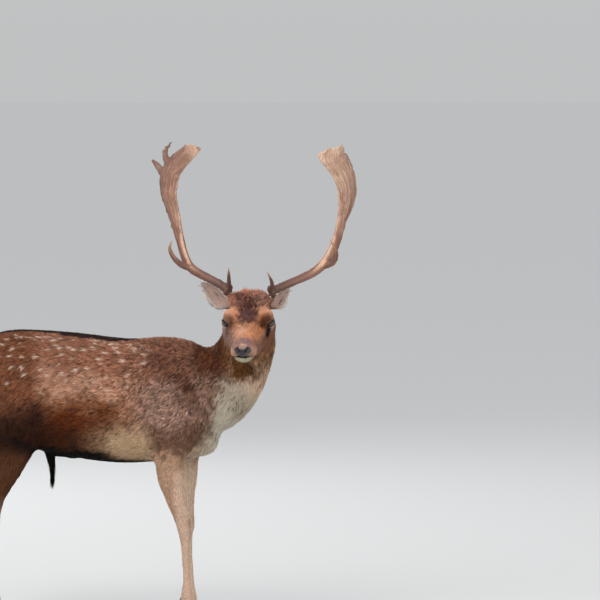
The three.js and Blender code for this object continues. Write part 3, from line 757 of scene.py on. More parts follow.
def bodyColours(points, weights):
    x, y, z = points.T
    wide, fine = Noise(150, 1)(points), Noise(38, 2)(points)
    z = z + wide * 9 + fine * 6
    side = np.abs(y)
    c = Paint("back", len(points))
    c.lay("flank", (0.8 + 0.22 * fine) * smoothstep(z, 800, 745) * smoothstep(x, -40, -150))
    c.lay("tan", smoothstep(z, 712, 668) * smoothstep(x, -70, -190))
    c.lay("rust", smoothstep(z, 676, 622) * smoothstep(x, -70, -200))
    c.lay("deepRust", smoothstep(z, 620, 560) * smoothstep(x, -170, -360))
    # shoulder: grizzled, with a dark band along the front of the shoulder blade
    front = smoothstep(x, -130, -50)
    c.lay("withers", smoothstep(x, -190, -60) * smoothstep(z, 740, 790))
    c.lay("shoulder", front * smoothstep(z, 775, 725))
    c.lay("arm", front * smoothstep(z, 650, 600))
    flat = points * (1, 0, 1)
    band = ridge(flat, (-40, 0, 802), (52, 0, 722), 24) + 0.7 * ridge(flat, (52, 0, 722), (84, 0, 650), 18)
    c.lay("shoulderDark", band * (0.6 + 0.12 * fine))
    # haunch and thigh, darkest in front of the stifle
    hip = smoothstep(x + 0.2 * (z - 700), -362, -420)
    c.lay("haunch", hip)
    c.lay("thigh", hip * smoothstep(z, 690, 600))
    # the dark of the thigh spreads over the fold of the flank, with painted shade in the fold
    stifle = 0.9 * blob(flat, (-436, 0, 566), (62, 1, 52))
    stifle += 0.55 * ridge(flat, (-404, 0, 660), (-398, 0, 530), 15)
    c.lay("thighDarkAndFoldShade", stifle * (1.05 + 0.15 * fine))
    c.lay("deepRust", 0.8 * blob(flat, (-356, 0, 560), (50, 1, 44)))
    # the pale patch behind the elbow, and the black line under the belly
    c.lay("cream", 1.35 * blob(flat, (-122, 0, 545), (62, 1, 38)) * smoothstep(x, -30, -80))
    edge = 554 - 0.15 * np.clip(x + 330, -60, 300)
    under = smoothstep(z, edge + 8, edge - 14) * smoothstep(x, -120, -230)
    under *= 1 - 0.7 * smoothstep(x, -450, -500)
    c.lay("black", under)
    c.lay("black", smoothstep(points[:, 2], 511, 499) * smoothstep(x, -30, -110) * (x > -430))
    # neck: red and dark at the crest, grey-brown beside it, a pale bib and a tan throat
    neck = weights["neck"]
    c.lay("neck", neck * 0.9)
    crest = smoothstep(x - 0.55 * (z - 800), 205, 150)
    c.lay("nape", neck * np.clip(crest + 0.5 * smoothstep(z, 760, 860), 0, 1) * smoothstep(z, 730, 800))
    bib = smoothstep(x - 0.43 * (z - 560), 66, 126) * smoothstep(z, 835, 725)
    c.lay("bib", bib)
    throat = smoothstep(x, 150, 208) * smoothstep(z, 735, 800)
    c.lay("bibShade", 0.8 * blob(flat, (208, 0, 690), (30, 1, 44)))
    c.lay("throat", throat * neck)
    c.lay("throatPale", neck * blob(flat, (266, 0, 744), (34, 1, 40)))
    # painted shade on the neck under the chin, lighter to the right
    right = 1 - 0.8 * smoothstep(x + 0.5 * (z - 780), 250, 282)
    c.lay("chinShade", neck * smoothstep(x, 184, 208) * smoothstep(z, 736, 782) * right)
    c.lay("darkHairAndShade", 0.22 * neck * smoothstep(x, 190, 214) * smoothstep(z, 776, 800) * right)
    c.lay("nape", neck * smoothstep(z, 770, 850) * smoothstep(y, -62, -20) * 0.85)
    # painted shade on the neck beside the cheek
    c.lay("darkHairAndShade", 0.4 * neck * blob(flat, (152, 0, 812), (15, 1, 48)) * (0.8 + 0.4 * fine))
    c.lay("bib", smoothstep(z, 580, 520) * smoothstep(x, 20, 60) * smoothstep(side, 62, 30))
    # the stripe along the back, and the spots
    half = 26 + 20 * smoothstep(x, -400, -300) - 30 * smoothstep(x, -190, -100)
    stripe = smoothstep(half - side + fine * 2, 0, 9) * smoothstep(x, -100, -128) * (points[:, 2] > 800)
    spots = spotMask(points, topLine(x)) * (1 - stripe) * (0.72 - 0.42 * smoothstep(points[:, 2], 790, 690))
    c.lay("spot", spots)
    c.lay("black", stripe * 0.95)
    # white rump edged with black
    rear = smoothstep(x, -655, -672)
    patch = np.hypot(y / 74, (points[:, 2] - 690) / 118)
    c.lay("black", rear * smoothstep(patch, 1.24, 1.1) * smoothstep(patch, 0.9, 1.0))
    c.lay("rump", rear * smoothstep(patch, 1.02, 0.92))
    c.lay("rump", 0.8 * smoothstep(x, -560, -600) * smoothstep(z, 570, 540) * smoothstep(side, 60, 40))
    return c


def legColours(points, c, weights):
    x, y, z = points.T
    fine = Noise(30, 3)(points)
    for name in legNames:
        kind, side = name.split("_")
        leg = weights[name]
        low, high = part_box(f"{name}_cannon")
        inner = outward[side] * (y - (low.y + high.y) * 500 + bodyAt[1])
        ahead = x - (low.x + high.x) * 500 + bodyAt[0]
        if kind == "foreleg":
            c.lay("leg", leg * smoothstep(z, 556 + 14 * fine, 500 + 14 * fine))
            c.lay("legFront", 0.8 * leg * smoothstep(ahead, -36, -8) * smoothstep(z, 500, 462))
            c.lay("legInside", leg * smoothstep(inner, 2, -16) * 0.9)
            knee = blob(np.stack([z, inner], 1), (322, 2), (13, 9)) * smoothstep(ahead, -8, 6)
            c.lay("jaw", leg * knee * 0.5)
        else:
            c.lay("shank", leg * smoothstep(z, 570, 500))
            c.lay("leg", leg * smoothstep(z, 410, 300) * 0.9)
            c.lay("legInside", leg * smoothstep(inner, 0, -18) * 0.85)
        c.lay("shank", leg * smoothstep(z, 60, 40) * 0.6)


def headColours(h):
    fine, wide, tiny = Noise(12, 4)(h), Noise(40, 5)(h), Noise(5, 6)(h)
    bare = h
    h = h + np.stack([fine * 2.2 + tiny, wide * 1.5 + tiny * 0.7, wide * 2.0], 1)
    x, y, z = h.T
    side = np.abs(y)
    left = smoothstep(y, -6, 14)
    c = Paint("cheek", len(h))
    c.lay("jaw", left * 0.55)
    c.lay("jawLeft", left * smoothstep(z, -26, -60) * smoothstep(x, 200, 160) * 0.8)
    c.lay("jaw", (1 - left) * blob(h * (1, 0, 1), (70, 0, -112), (60, 1, 26)) * 0.55)
    c.lay("jaw", smoothstep(x, 40, -4) * 0.6)
    c.lay("chinShade", smoothstep(z, -92, -112) * smoothstep(x, 235, 205) * smoothstep(side, 44, 30) * 0.85)
    # the orange bridge, paler to the right, fades out on the cheeks
    reach = np.interp(x, (96, 130, 170, 210, 240), (50, 43, 36, 29, 24))
    reach = reach + 9 * smoothstep(y, 0, 20) * smoothstep(x, 220, 190)
    bridge = smoothstep(-side + reach, -11, 11) * smoothstep(x, 76, 112) * smoothstep(z, -50, -34)
    c.lay("bridge", bridge)
    c.lay("bridgePale", bridge * blob(h * (1, 1, 0), (186, -13, 0), (34, 15, 1)) * 0.9)
    for s in (1, -1):
        c.lay("brow", 1.5 * blob(h, (84, s * 54, 2), (19, 15, 14)))
        # painted shade in the hollow before each eye and under the brow, heavier on the left side
        c.lay("eyeShadeAndMottle", (1.35 if s > 0 else 0.9) * blob(h, (124, s * 46, -20), (17, 10, 14)))
        c.lay("eyeShadeAndMottle", (0.9 if s > 0 else 0.45) * blob(h, (117, s * 60, -8), (14, 11, 6.5)))
    spot = (np.abs(x - 122) / 29) ** 2.4 + (np.abs(y - 1) / 31) ** 2.4
    c.lay("forehead", 0.96 * smoothstep(spot + 0.15 * fine, 1.9, 0.3) * (z > -22))
    c.lay("eyeShadeAndMottle", 0.4 * blob(h, (158, 2, 0), (16, 26, 20)))
    strands = Noise(9, 7)(h * (0.22, 1, 0.5))
    fringe = smoothstep(side, 33, 22) * smoothstep(x, 66, 80) * smoothstep(x, 118, 98)
    c.lay("darkHairAndShade", 0.85 * smoothstep(strands, -0.7, 0.1) * fringe)
    crown = crownOf(bare)
    c.lay("crown", crown)
    clump = Noise(17, 94)(bare)
    c.lay("crownGrey", crown * smoothstep(y + 4 * fine, 4, 26) * smoothstep(x, 26, 50) * 0.6)
    c.lay("crownTip", crown * smoothstep(x, 46, 12) * 0.85)
    c.lay("crownTip", crown * smoothstep(clump, -0.3, -1.3) * 0.5)
    c.lay("darkHairAndShade", crown * smoothstep(clump, 0.2, 1.0) * smoothstep(x, 16, 40) * 0.7)
    c.lay("darkHairAndShade", 0.55 * blob(bare, (80, -4, 26), (13, 28, 30)))
    arch = 232 + 0.014 * y * y
    c.lay("band", smoothstep(x - arch, -7, 5) * smoothstep(side, 30, 19) * smoothstep(z, -40, -28))
    c.lay("muzzleTan", smoothstep(bare[:, 0], 264, 272) * smoothstep(z, -24, -18) * smoothstep(side, 27, 18)
          * 0.9)
    c.lay("muzzle", smoothstep(x, 226, 246) * smoothstep(z, -26, -36))
    for y0, z0, size in ((30, -38, 5), (33, -50, 6)):
        c.lay("muzzleTan", 0.9 * blob(bare, (266, -y0, z0), (9, 5, size)))
        c.lay("muzzleTan", 0.6 * blob(bare, (268, y0, z0 + 6), (9, 5, size)))
    patchy = Noise(13, 95)(bare)
    c.lay("eyeShadeAndMottle", 0.42 * left * smoothstep(patchy, 0.1, 0.9) * smoothstep(z, -24, -48)
          * smoothstep(x, 205, 170))
    # white lower lip under the dark line of the mouth
    line = np.array(mouth["line"])
    fall = np.interp(bare[:, 0], line[::-1, 0], line[::-1, 2]) - bare[:, 2]
    c.lay("lip", smoothstep(x, 228, 246) * smoothstep(fall, -1.0, 1.2))
    c.lay("chinShade", 0.85 * smoothstep(z, -83, -90) * smoothstep(x, 180, 215) * smoothstep(x, 262, 250))
    for s in (1, -1):
        _, place, inside = eyePlace(bare, s)
        front = place[:, 2] > -4
        c.lay("underEye", blob(place, (3, -10, 12), (13, 3.4, 14)) * front * 0.95)
        # the upper lid is darkened: dark lid skin with painted shade under the brow
        c.lay("lid", smoothstep(inside, -4.4, -1.6) * front * smoothstep(place[:, 1] + 6, -1, 3))
        c.lay("lid", smoothstep(inside, -2.0, -0.8) * front)
        onSide = smoothstep(s * y, 34, 42)
        streak = ridge(bare * (1, 0, 1), (126, 0, -37), (150, 0, -48), 4.6) * onSide
        c.lay("black", (1.25 if s > 0 else 0.55) * streak)
    cut = np.max([ridge(bare * (1, s, 1), a, b, 1.9) for s in (1, -1) for a, b in zip(line, line[1:])],
                 axis=0)
    c.lay("black", cut)
    c.lay("black", smoothstep(x, 262, 272) * smoothstep(side, 21, 14) * smoothstep(z, -46, -50)
          * smoothstep(z, -58, -55))
    c.lay("black", smoothstep(np.linalg.norm(padPlace(bare), axis=1), 0.9, 0.8) * (bare[:, 0] > 240))
    return c.colours * (1 + 0.1 * fine + 0.07 * tiny)[:, None].clip(0.7, 1.3)


def earPlace(points):  # share of the ear's length, how far round its cup, and whether inside the cup
    found, far = [], []
    for side in (1, -1):
        root, tip, axis, opening, across = earAxes(side)
        u = (points - root) @ axis / np.linalg.norm(tip - root)
        spine, radius, wrap = earCup(side, u, 0)
        away = points - spine
        angle = np.arctan2(away @ across, -(away @ opening))
        inside = np.linalg.norm(away, axis=1) < radius - ears["wall"] / 2
        found.append(np.stack([u, angle / wrap, inside], 1))
        far.append(np.linalg.norm(points - (root + tip) / 2, axis=1))
    return np.where((far[1] < far[0])[:, None], found[1], found[0]).T


def coatColours(points, weights):
    c = bodyColours(points, weights)
    legColours(points, c, weights)
    c.colours = c.colours + (headColours(onSkull(points)) - c.colours) * weights["head"][:, None]
    u, v, inside = earPlace(points)
    ear = weights["ear"]
    c.lay("earBack", ear * smoothstep(u, 0.02, 0.2))
    c.lay("earInside", ear * inside * smoothstep(u, 0.02, 0.12))
    edge = smoothstep(np.abs(v), 0.7, 0.92) * smoothstep(u, 0.0, 0.15)
    c.lay("earRim", ear * edge * 0.9)
    tail = weights["tail"]
    c.lay("black", tail * np.maximum(smoothstep(points[:, 0], -700, -712),
                                     smoothstep(points[:, 2], 770, 790)))
    return c.colours


# Finishes: each is one shader fed by a few nodes.
class Wire:  # a shader socket that sums and products can be written with
    def __init__(self, nodes, socket):
        self.nodes, self.socket = nodes, socket

    def maths(self, operation, *values):
        return self.nodes.node("ShaderNodeMath", {"operation": operation}, dict(enumerate(values)))

    def __add__(self, other):
        return self.maths("ADD", self, other)

    def __sub__(self, other):
        return self.maths("SUBTRACT", self, other)

    def __rsub__(self, other):
        return self.maths("SUBTRACT", other, self)

    def __mul__(self, other):
        return self.maths("MULTIPLY", self, other)

    __radd__, __rmul__ = __add__, __mul__


class Nodes:  # one tree of nodes
    def __init__(self, tree):
        self.tree = tree

    def node(self, kind, settings, values, out=0):
        made = self.tree.nodes.new(kind)
        for key, value in settings.items():
            if key == "stops":
                self.setStops(made.color_ramp, value)
            else:
                setattr(made, key, value)
        for key, value in values.items():
            if isinstance(value, Wire):
                self.tree.links.new(value.socket, made.inputs[key])
            else:
                made.inputs[key].default_value = value
        return Wire(self, made.outputs[out])

    def setStops(self, ramp, stops):
        while len(ramp.elements) < len(stops):
            ramp.elements.new(1)
        for element, (at, colour) in zip(ramp.elements, stops):
            element.position = at
            element.color = (*colour, 1)


class Finish(Nodes):  # a material with one Principled shader, fed by nodes
    def __init__(self, name, **constants):
        self.material = bpy.data.materials.new(name)
        self.material.use_nodes = True
        super().__init__(self.material.node_tree)
        self.shader = self.tree.nodes["Principled BSDF"]
        for key, value in constants.items():
            self.shader.inputs[key.replace("_", " ")].default_value = value

    def value(self, name, colour=False):  # what the mesh holds under this name
        return self.node("ShaderNodeAttribute", {"attribute_name": name}, {}, "Color" if colour else "Fac")

    def place(self, stretch=(1, 1, 1), turn=(0, 0, 0)):
        spot = self.node("ShaderNodeTexCoord", {}, {}, "Object")
        return self.node("ShaderNodeMapping", {}, {"Vector": spot, "Scale": stretch, "Rotation": turn})

    def noise(self, at, scale, detail=2.0, roughness=0.5, warp=0.0):
        values = {"Vector": at, "Scale": scale, "Detail": detail, "Roughness": roughness,
                  "Distortion": warp}
        return self.node("ShaderNodeTexNoise", {}, values, "Fac")

    def between(self, value, low, high, to=(0.0, 1.0)):
        values = {"Value": value, "From Min": low, "From Max": high, "To Min": to[0], "To Max": to[1]}
        return self.node("ShaderNodeMapRange", {}, values)

    def tinted(self, colour, value):  # a colour made lighter or darker by a number
        grey = self.node("ShaderNodeCombineColor", {}, {0: value, 1: value, 2: value})
        settings = {"data_type": "RGBA", "blend_type": "MULTIPLY"}
        return self.node("ShaderNodeMix", settings, {0: 1.0, 6: colour, 7: grey}, 2)

    def bump(self, height, strength, distance):
        return self.node("ShaderNodeBump", {},
                         {"Height": height, "Strength": strength, "Distance": distance})

    def feed(self, **wires):
        for key, wire in wires.items():
            self.tree.links.new(wire.socket, self.shader.inputs[key.replace("_", " ")])
        return self.material


def coatFinish(name):
    finish = Finish(name, Roughness=0.74, Specular_IOR_Level=0.11)
    tone = finish.value("tone", colour=True)
    patches = finish.noise(finish.place(), 34, 3)
    strands = finish.noise(finish.place((1, 1, 0.3)), 420, 2)
    light = finish.between(patches, 0.25, 0.75, (0.88, 1.12))
    light = light * finish.between(strands, 0.3, 0.7, (0.86, 1.12))
    rough = finish.between(strands, 0.3, 0.7, (0.62, 0.82))
    return finish.feed(Base_Color=finish.tinted(tone, light), Roughness=rough)


def skinFinish():
    finish = Finish("short_coat", Roughness=0.8, Specular_IOR_Level=0.1)
    tone = finish.value("tone", colour=True)
    bare = finish.value("bare")
    hairs = finish.noise(finish.place((1, 1, 0.28)), 700, 3, 0.6, 0.3)
    fine = finish.noise(finish.place(), 1500, 2)
    light = finish.between(hairs, 0.3, 0.7, (0.72, 1.06))
    rough = finish.between(bare, 0.0, 1.0, (0.8, 0.42)) + finish.between(fine, 0.3, 0.7, (-0.05, 0.05))
    rise = hairs * 0.7 + fine * 0.3
    return finish.feed(Base_Color=finish.tinted(tone, light), Roughness=rough,
                       Normal=finish.bump(rise, 0.5, 0.0012))


# The lie of the coat: which way the hair points in each piece and place, in the body's frame. Head,
# cheek and crown are in the skull's frame, and the ears find their own way.
lie = {
    "neck": (-0.62, 0.05, -0.78), "chest": (-0.7, 0, -0.66), "belly": (-0.93, 0, -0.34),
    "haunches": (-0.72, 0, -0.66), "forearm": (-0.12, 0, -1), "gaskin": (-0.2, 0, -1),
    "cannon": (-0.05, 0, -1), "pastern": (0.1, 0, -1), "tail": (-0.1, 0, -1), "ear": (0, 0, 1),
    "nape": (-0.12, 0.5, -0.86), "throat": (0, 0.1, -1), "breast": (-0.15, 0, -1),
    "backLine": (-1, 0, 0), "rear": (-0.1, 0, -1), "overTail": (-1, 0, -0.1),
    "head": (-1, 0, 0.15), "cheek": (-0.9, 0, -0.35), "crown": (1.3, 0, 0.3),
}
# Length and width of a tuft, how high its tip stands off the skin, how unruly it is, and how many
# there are to a square centimetre.
coat = {
    "head": (7.5, 1.22, 1.4, 0.16, 21), "neck": (21, 2.0, 6.0, 0.32, 13),
    "chest": (16, 1.8, 4.8, 0.27, 13), "belly": (17, 1.95, 4.0, 0.2, 10.6),
    "haunches": (17, 2.0, 4.6, 0.22, 10.5), "tail": (52, 2.8, 9, 0.14, 16),
    "forearm": (12, 1.6, 2.6, 0.14, 10.3), "gaskin": (14, 1.7, 2.8, 0.14, 10),
    "cannon": (8, 1.3, 1.5, 0.12, 11.5), "pastern": (10, 1.35, 2.0, 0.16, 14),
    "ear": (8, 1.05, 1.2, 0.12, 16),
}
# What the coat gains or loses in some places, in the same order.
dressing = {
    "crown": (7, 0.3, 6, 0.9, 0), "bib": (3, 0, 0.6, -0.19, 0), "crest": (0, 0, 5, 0.1, 0),
    "earRim": (3, 0, 1.2, 0, 6), "earLowerRim": (9, 0, 2.5, 0, 10), "earCup": (6, 0, 2, 0, 0),
    "muzzle": (-2.5, -0.3, -0.5, 0, 0),
}
legReach = {"foreleg": 20, "hindleg": -530, "between": -250, "top": 640}  # places along the body, height


class Hide:  # the skin as arrays, with all that the coat needs to know at each of its points
    def __init__(self, mesh):
        self.points, self.triangles = pointsOf(mesh), trianglesOf(mesh)
        self.normals = normalsOf(self.points, self.triangles)
        web = Web(mesh)
        self.parts = partOf(self.points, fleshNodes)
        self.weights = {}
        groups = {"head": ["head"], "neck": ["neck"], "ear": ["ear_right", "ear_left"], "tail": ["tail"]}
        groups.update({leg: [n for n in limbNodes if n.startswith(leg)] for leg in legNames})
        for key, names in groups.items():
            found = np.isin(self.parts, [fleshNodes.index(n) for n in names]).astype(float)
            self.weights[key] = web.spread(found, 2 if key == "ear" else 8)
        x, y, z = self.points.T
        front = x > legReach["between"]
        for leg in legNames:  # a leg's colours reach up over the elbow or stifle
            kind, side = leg.split("_")
            atEnd = front if kind == "foreleg" else ~front
            here = atEnd & (y * outward[side] > 8) & (z < legReach["top"])
            upper = smoothstep(z, 600, 500) * here * smoothstep(np.abs(y), 30, 60)
            upper = upper * smoothstep(np.abs(x - legReach[kind]), 120, 70)
            self.weights[leg] = web.spread(np.maximum(self.weights[leg], upper), 4)
        self.coat = web.spread(tableRows(coat, fleshNodes)[self.parts], 6)
        self.dress()
        self.flow = self.flowing(web)

    def dress(self):  # what each region adds to the coat, and where the skin is bare
        points, h = self.points, onSkull(self.points)
        x, _, z = points.T
        self.crown = crownOf(h) * self.weights["head"]
        bib = smoothstep(x, 90, 150) * self.weights["neck"] * smoothstep(z, 790, 720)
        crest = smoothstep(z, 770, 830) * smoothstep(x, -150, -60) * smoothstep(x, 110, 70)
        u, v, inside = earPlace(points)
        ear = self.weights["ear"]
        rim = ear * smoothstep(np.abs(v), 0.8, 0.97)
        lower = rim * (v * np.sign(h[:, 1]) > 0)
        deep = ear * inside * (1 - smoothstep(u, 0.3, 0.7))
        face = self.weights["head"] * smoothstep(h[:, 0], 120, 200)
        masks = {"crown": self.crown, "bib": bib, "crest": crest, "earRim": rim, "earLowerRim": lower,
                 "earCup": deep, "muzzle": face}
        for key, mask in masks.items():
            self.coat = self.coat + np.outer(mask, dressing[key])
        # bare: lids and the edge of the nose pad
        bare = np.zeros(len(points))
        for side in (1, -1):
            away, place, inside = eyePlace(h, side)
            near = (place[:, 2] > -4) & (np.linalg.norm(away, axis=1) < eyeShape["reach"])
            bare = np.maximum(bare, smoothstep(inside, -2.6, -0.8) * near)
        pad = np.linalg.norm(padPlace(h) / (1.3, 1.06, 1.06), axis=1)
        self.bare = np.maximum(bare, smoothstep(pad, 1.04, 0.98)) * (self.weights["head"] > 0.5)
        sole = smoothstep(z, 39, 37.5)
        self.coat[:, 4] = np.maximum(self.coat[:, 4] * (1 - self.bare) * (1 - sole), 0)

    def isIn(self, name):
        return (self.parts == fleshNodes.index(name))[:, None]

    def flowing(self, web):  # which way the hair lies at each point
        points, h = self.points, onSkull(self.points)
        ways = tableRows(lie, fleshNodes)[self.parts]
        x, y, z = points.T
        neck = blended(lie["neck"], lie["nape"], smoothstep(z, 700, 920))
        neck = blended(neck, lie["throat"], smoothstep(x, 150, 230))
        ways = np.where(self.isIn("neck"), neck, ways)
        ways = blended(ways, lie["breast"], smoothstep(x, 40, 90) * self.isIn("chest")[:, 0])
        high = smoothstep(z, 780, 860) * (np.abs(y) < 120) * (z > 700)
        ways = blended(ways, lie["backLine"], 0.8 * high)
        ways = blended(ways, lie["rear"], smoothstep(x, -640, -680))
        # head: from the nose back to the poll, and round the cheeks
        face = blended(lie["head"], lie["cheek"], smoothstep(h[:, 2], -30, -80))
        face = face + np.outer(0.25 * np.tanh(h[:, 1] / 20), (0, 1, 0))
        curls = smoothstep(h[:, 0], 84, 60)[:, None] * smoothstep(h[:, 2], 2, 18)[:, None]
        swirl = np.stack([Noise(30, seed)(h) for seed in (21, 22, 23)], 1) * 0.7
        face = face + curls * (swirl + lie["crown"])
        ways = np.where(self.isIn("head"), skullWay(face), ways)
        # ears: to the tip, and out over the edge
        _, v, _ = earPlace(points)
        for name, side in (("ear_right", -1), ("ear_left", 1)):
            _, _, axis, _, across = earAxes(side)
            way = axis + (np.sign(v) * smoothstep(np.abs(v), 0.4, 1) * 0.9)[:, None] * across
            ways = np.where(self.isIn(name), way, ways)
        overTail = ((x > -706) & (z > 770))[:, None] & self.isIn("tail")
        ways = np.where(overTail, lie["overTail"], ways)
        ways = unit(web.spread(unit(ways), 10, 0.8))
        ways = ways - (ways * self.normals).sum(1)[:, None] * self.normals
        ways = unit(web.spread(unit(ways), 3, 0.7))
        return unit(ways - (ways * self.normals).sum(1)[:, None] * self.normals)


def unrolled(points, part):  # where a point comes on the unwrap: each piece unrolled round its middle
    x, y, z = points.T
    if part == "head":
        h = onSkull(points)
        turn, along = np.arctan2(h[:, 1], h[:, 2] + 45), h[:, 0]
        low, high = -60, 300
    elif part == "ears":
        u, v, inside = earPlace(points)
        left = onSkull(points)[:, 1] > 0
        turn = math.pi * (np.clip((v + 1) / 2, 0, 1) * 0.48 - 0.5 + 0.5 * inside) + math.pi / 2 * left - 0.4
        along, low, high = u, -0.2, 1.1
    elif part == "neck":
        t = smoothstep(z, 690, 950)
        turn, along, low, high = np.arctan2(y + 150 * t, (x - 110 - 130 * t)), z, 560, 960
    elif part == "legs":
        quarter = (y > 0) + 2 * (x > legReach["between"])
        midX = np.where(x > legReach["between"], 20, -560)
        turn = np.arctan2(np.abs(y) - 80, x - midX) / 4.1 + (quarter - 1.5) * math.pi / 2
        along, low, high = z, 30, 560
    elif part == "tail":
        turn, along, low, high = np.arctan2(y, x + 716), z, 560, 820
    else:
        turn, along, low, high = np.arctan2(y, z - 690), x, -720, 130
    up = np.clip((along - low) / (high - low), 0, 1)
    return np.stack([turn / (2 * math.pi) + 0.5, up], 1) * 0.97 + 0.015


coatPieces = {
    # piece: flesh nodes, side of the body, how it is unrolled, slot of the record
    "coat_head": (["head"], 0, "head", "coat"),
    "coat_ears": (["ear_right", "ear_left"], 0, "ears", "ear"),
    "coat_neck": (["neck"], 0, "neck", "coat"),
    "coat_chest_right": (["chest"], -1, "trunk", "coat"),
    "coat_chest_left": (["chest"], 1, "trunk", "coat"),
    "coat_belly_right": (["belly"], -1, "trunk", "coat"),
    "coat_belly_left": (["belly"], 1, "trunk", "coat"),
    "coat_haunch_right": (["haunches"], -1, "trunk", "coat"),
    "coat_haunch_left": (["haunches"], 1, "trunk", "coat"),
    "coat_legs_right": ([n for n in limbNodes if "right" in n], 0, "legs", "pale_coat"),
    "coat_legs_left": ([n for n in limbNodes if "left" in n], 0, "legs", "pale_coat"),
    "coat_tail": (["tail"], 0, "tail", "coat"),
}
mostTufts = 24500  # of eight triangles each
locks = {
    "tufts": 2.6, "gather": 0.5,  # tufts to a lock, and how far their tips are drawn together
    # shades of locks and of the dark ones
    "contrast": 0.3, "lightest": 1.26, "darkest": 0.5, "fleck": 0.42,
}


def gathered(root, tip, count, dice):  # every tuft's lock, and the tip that the lock shares
    heads = dice.choice(count, int(count / locks["tufts"]) + 1, replace=False)
    tree = KDTree(len(heads))
    for i, place in enumerate(root[heads].tolist()):
        tree.insert(place, i)
    tree.balance()
    lock = np.array([tree.find(place)[1] for place in root.tolist()])
    return lock, tip[heads][lock]


variety = {"length": (0.72, 1.22), "width": (0.7, 1.3), "rise": (0.45, 1.05)}  # of tufts, in shares
patchSize = 0.003  # of each tuft on the unwrap
underCoat = 0.8  # how much darker the skin is than the tufts over it


def tuftArrays(root, way, normal, length, width, rise, tip):
    # closed tufts: an edge at the root, a ridge of three points at the middle, and a tip
    side = np.cross(normal, way)
    edge = (width * 0.36)[:, None] * side
    base = root - normal * (rise * 0.12 + 0.15)[:, None]
    middle = root + way * (length * 0.24)[:, None] + (tip - root) * 0.2 + normal * (rise * 0.4)[:, None]
    half = (width / 2)[:, None]
    points = [base - edge, base + edge, middle - side * half, middle + side * half,
              middle + normal * half * 0.8, tip]
    facing = [normal - side * 0.5, normal + side * 0.5, normal - side * 0.6, normal + side * 0.6,
              normal - way * 0.1, normal + way * 0.35]
    return np.stack(points, 1), unit(np.stack(facing, 1))


tuftFaces = np.array([(0, 1, 3), (0, 3, 2), (0, 2, 4), (0, 4, 1),
                      (1, 4, 3), (2, 3, 5), (3, 4, 5), (4, 2, 5)])
# of its points on its patch
tuftSpots = np.array([(0, 0), (1, 0), (0, 0.5), (1, 0.5), (0.5, 0.5), (0.5, 1)])
# painted shading along each tuft: darker at the root, lighter at the tip
tuftShades = np.array([0.62, 0.62, 0.92, 0.92, 1.0, 1.16])  # darker at the root


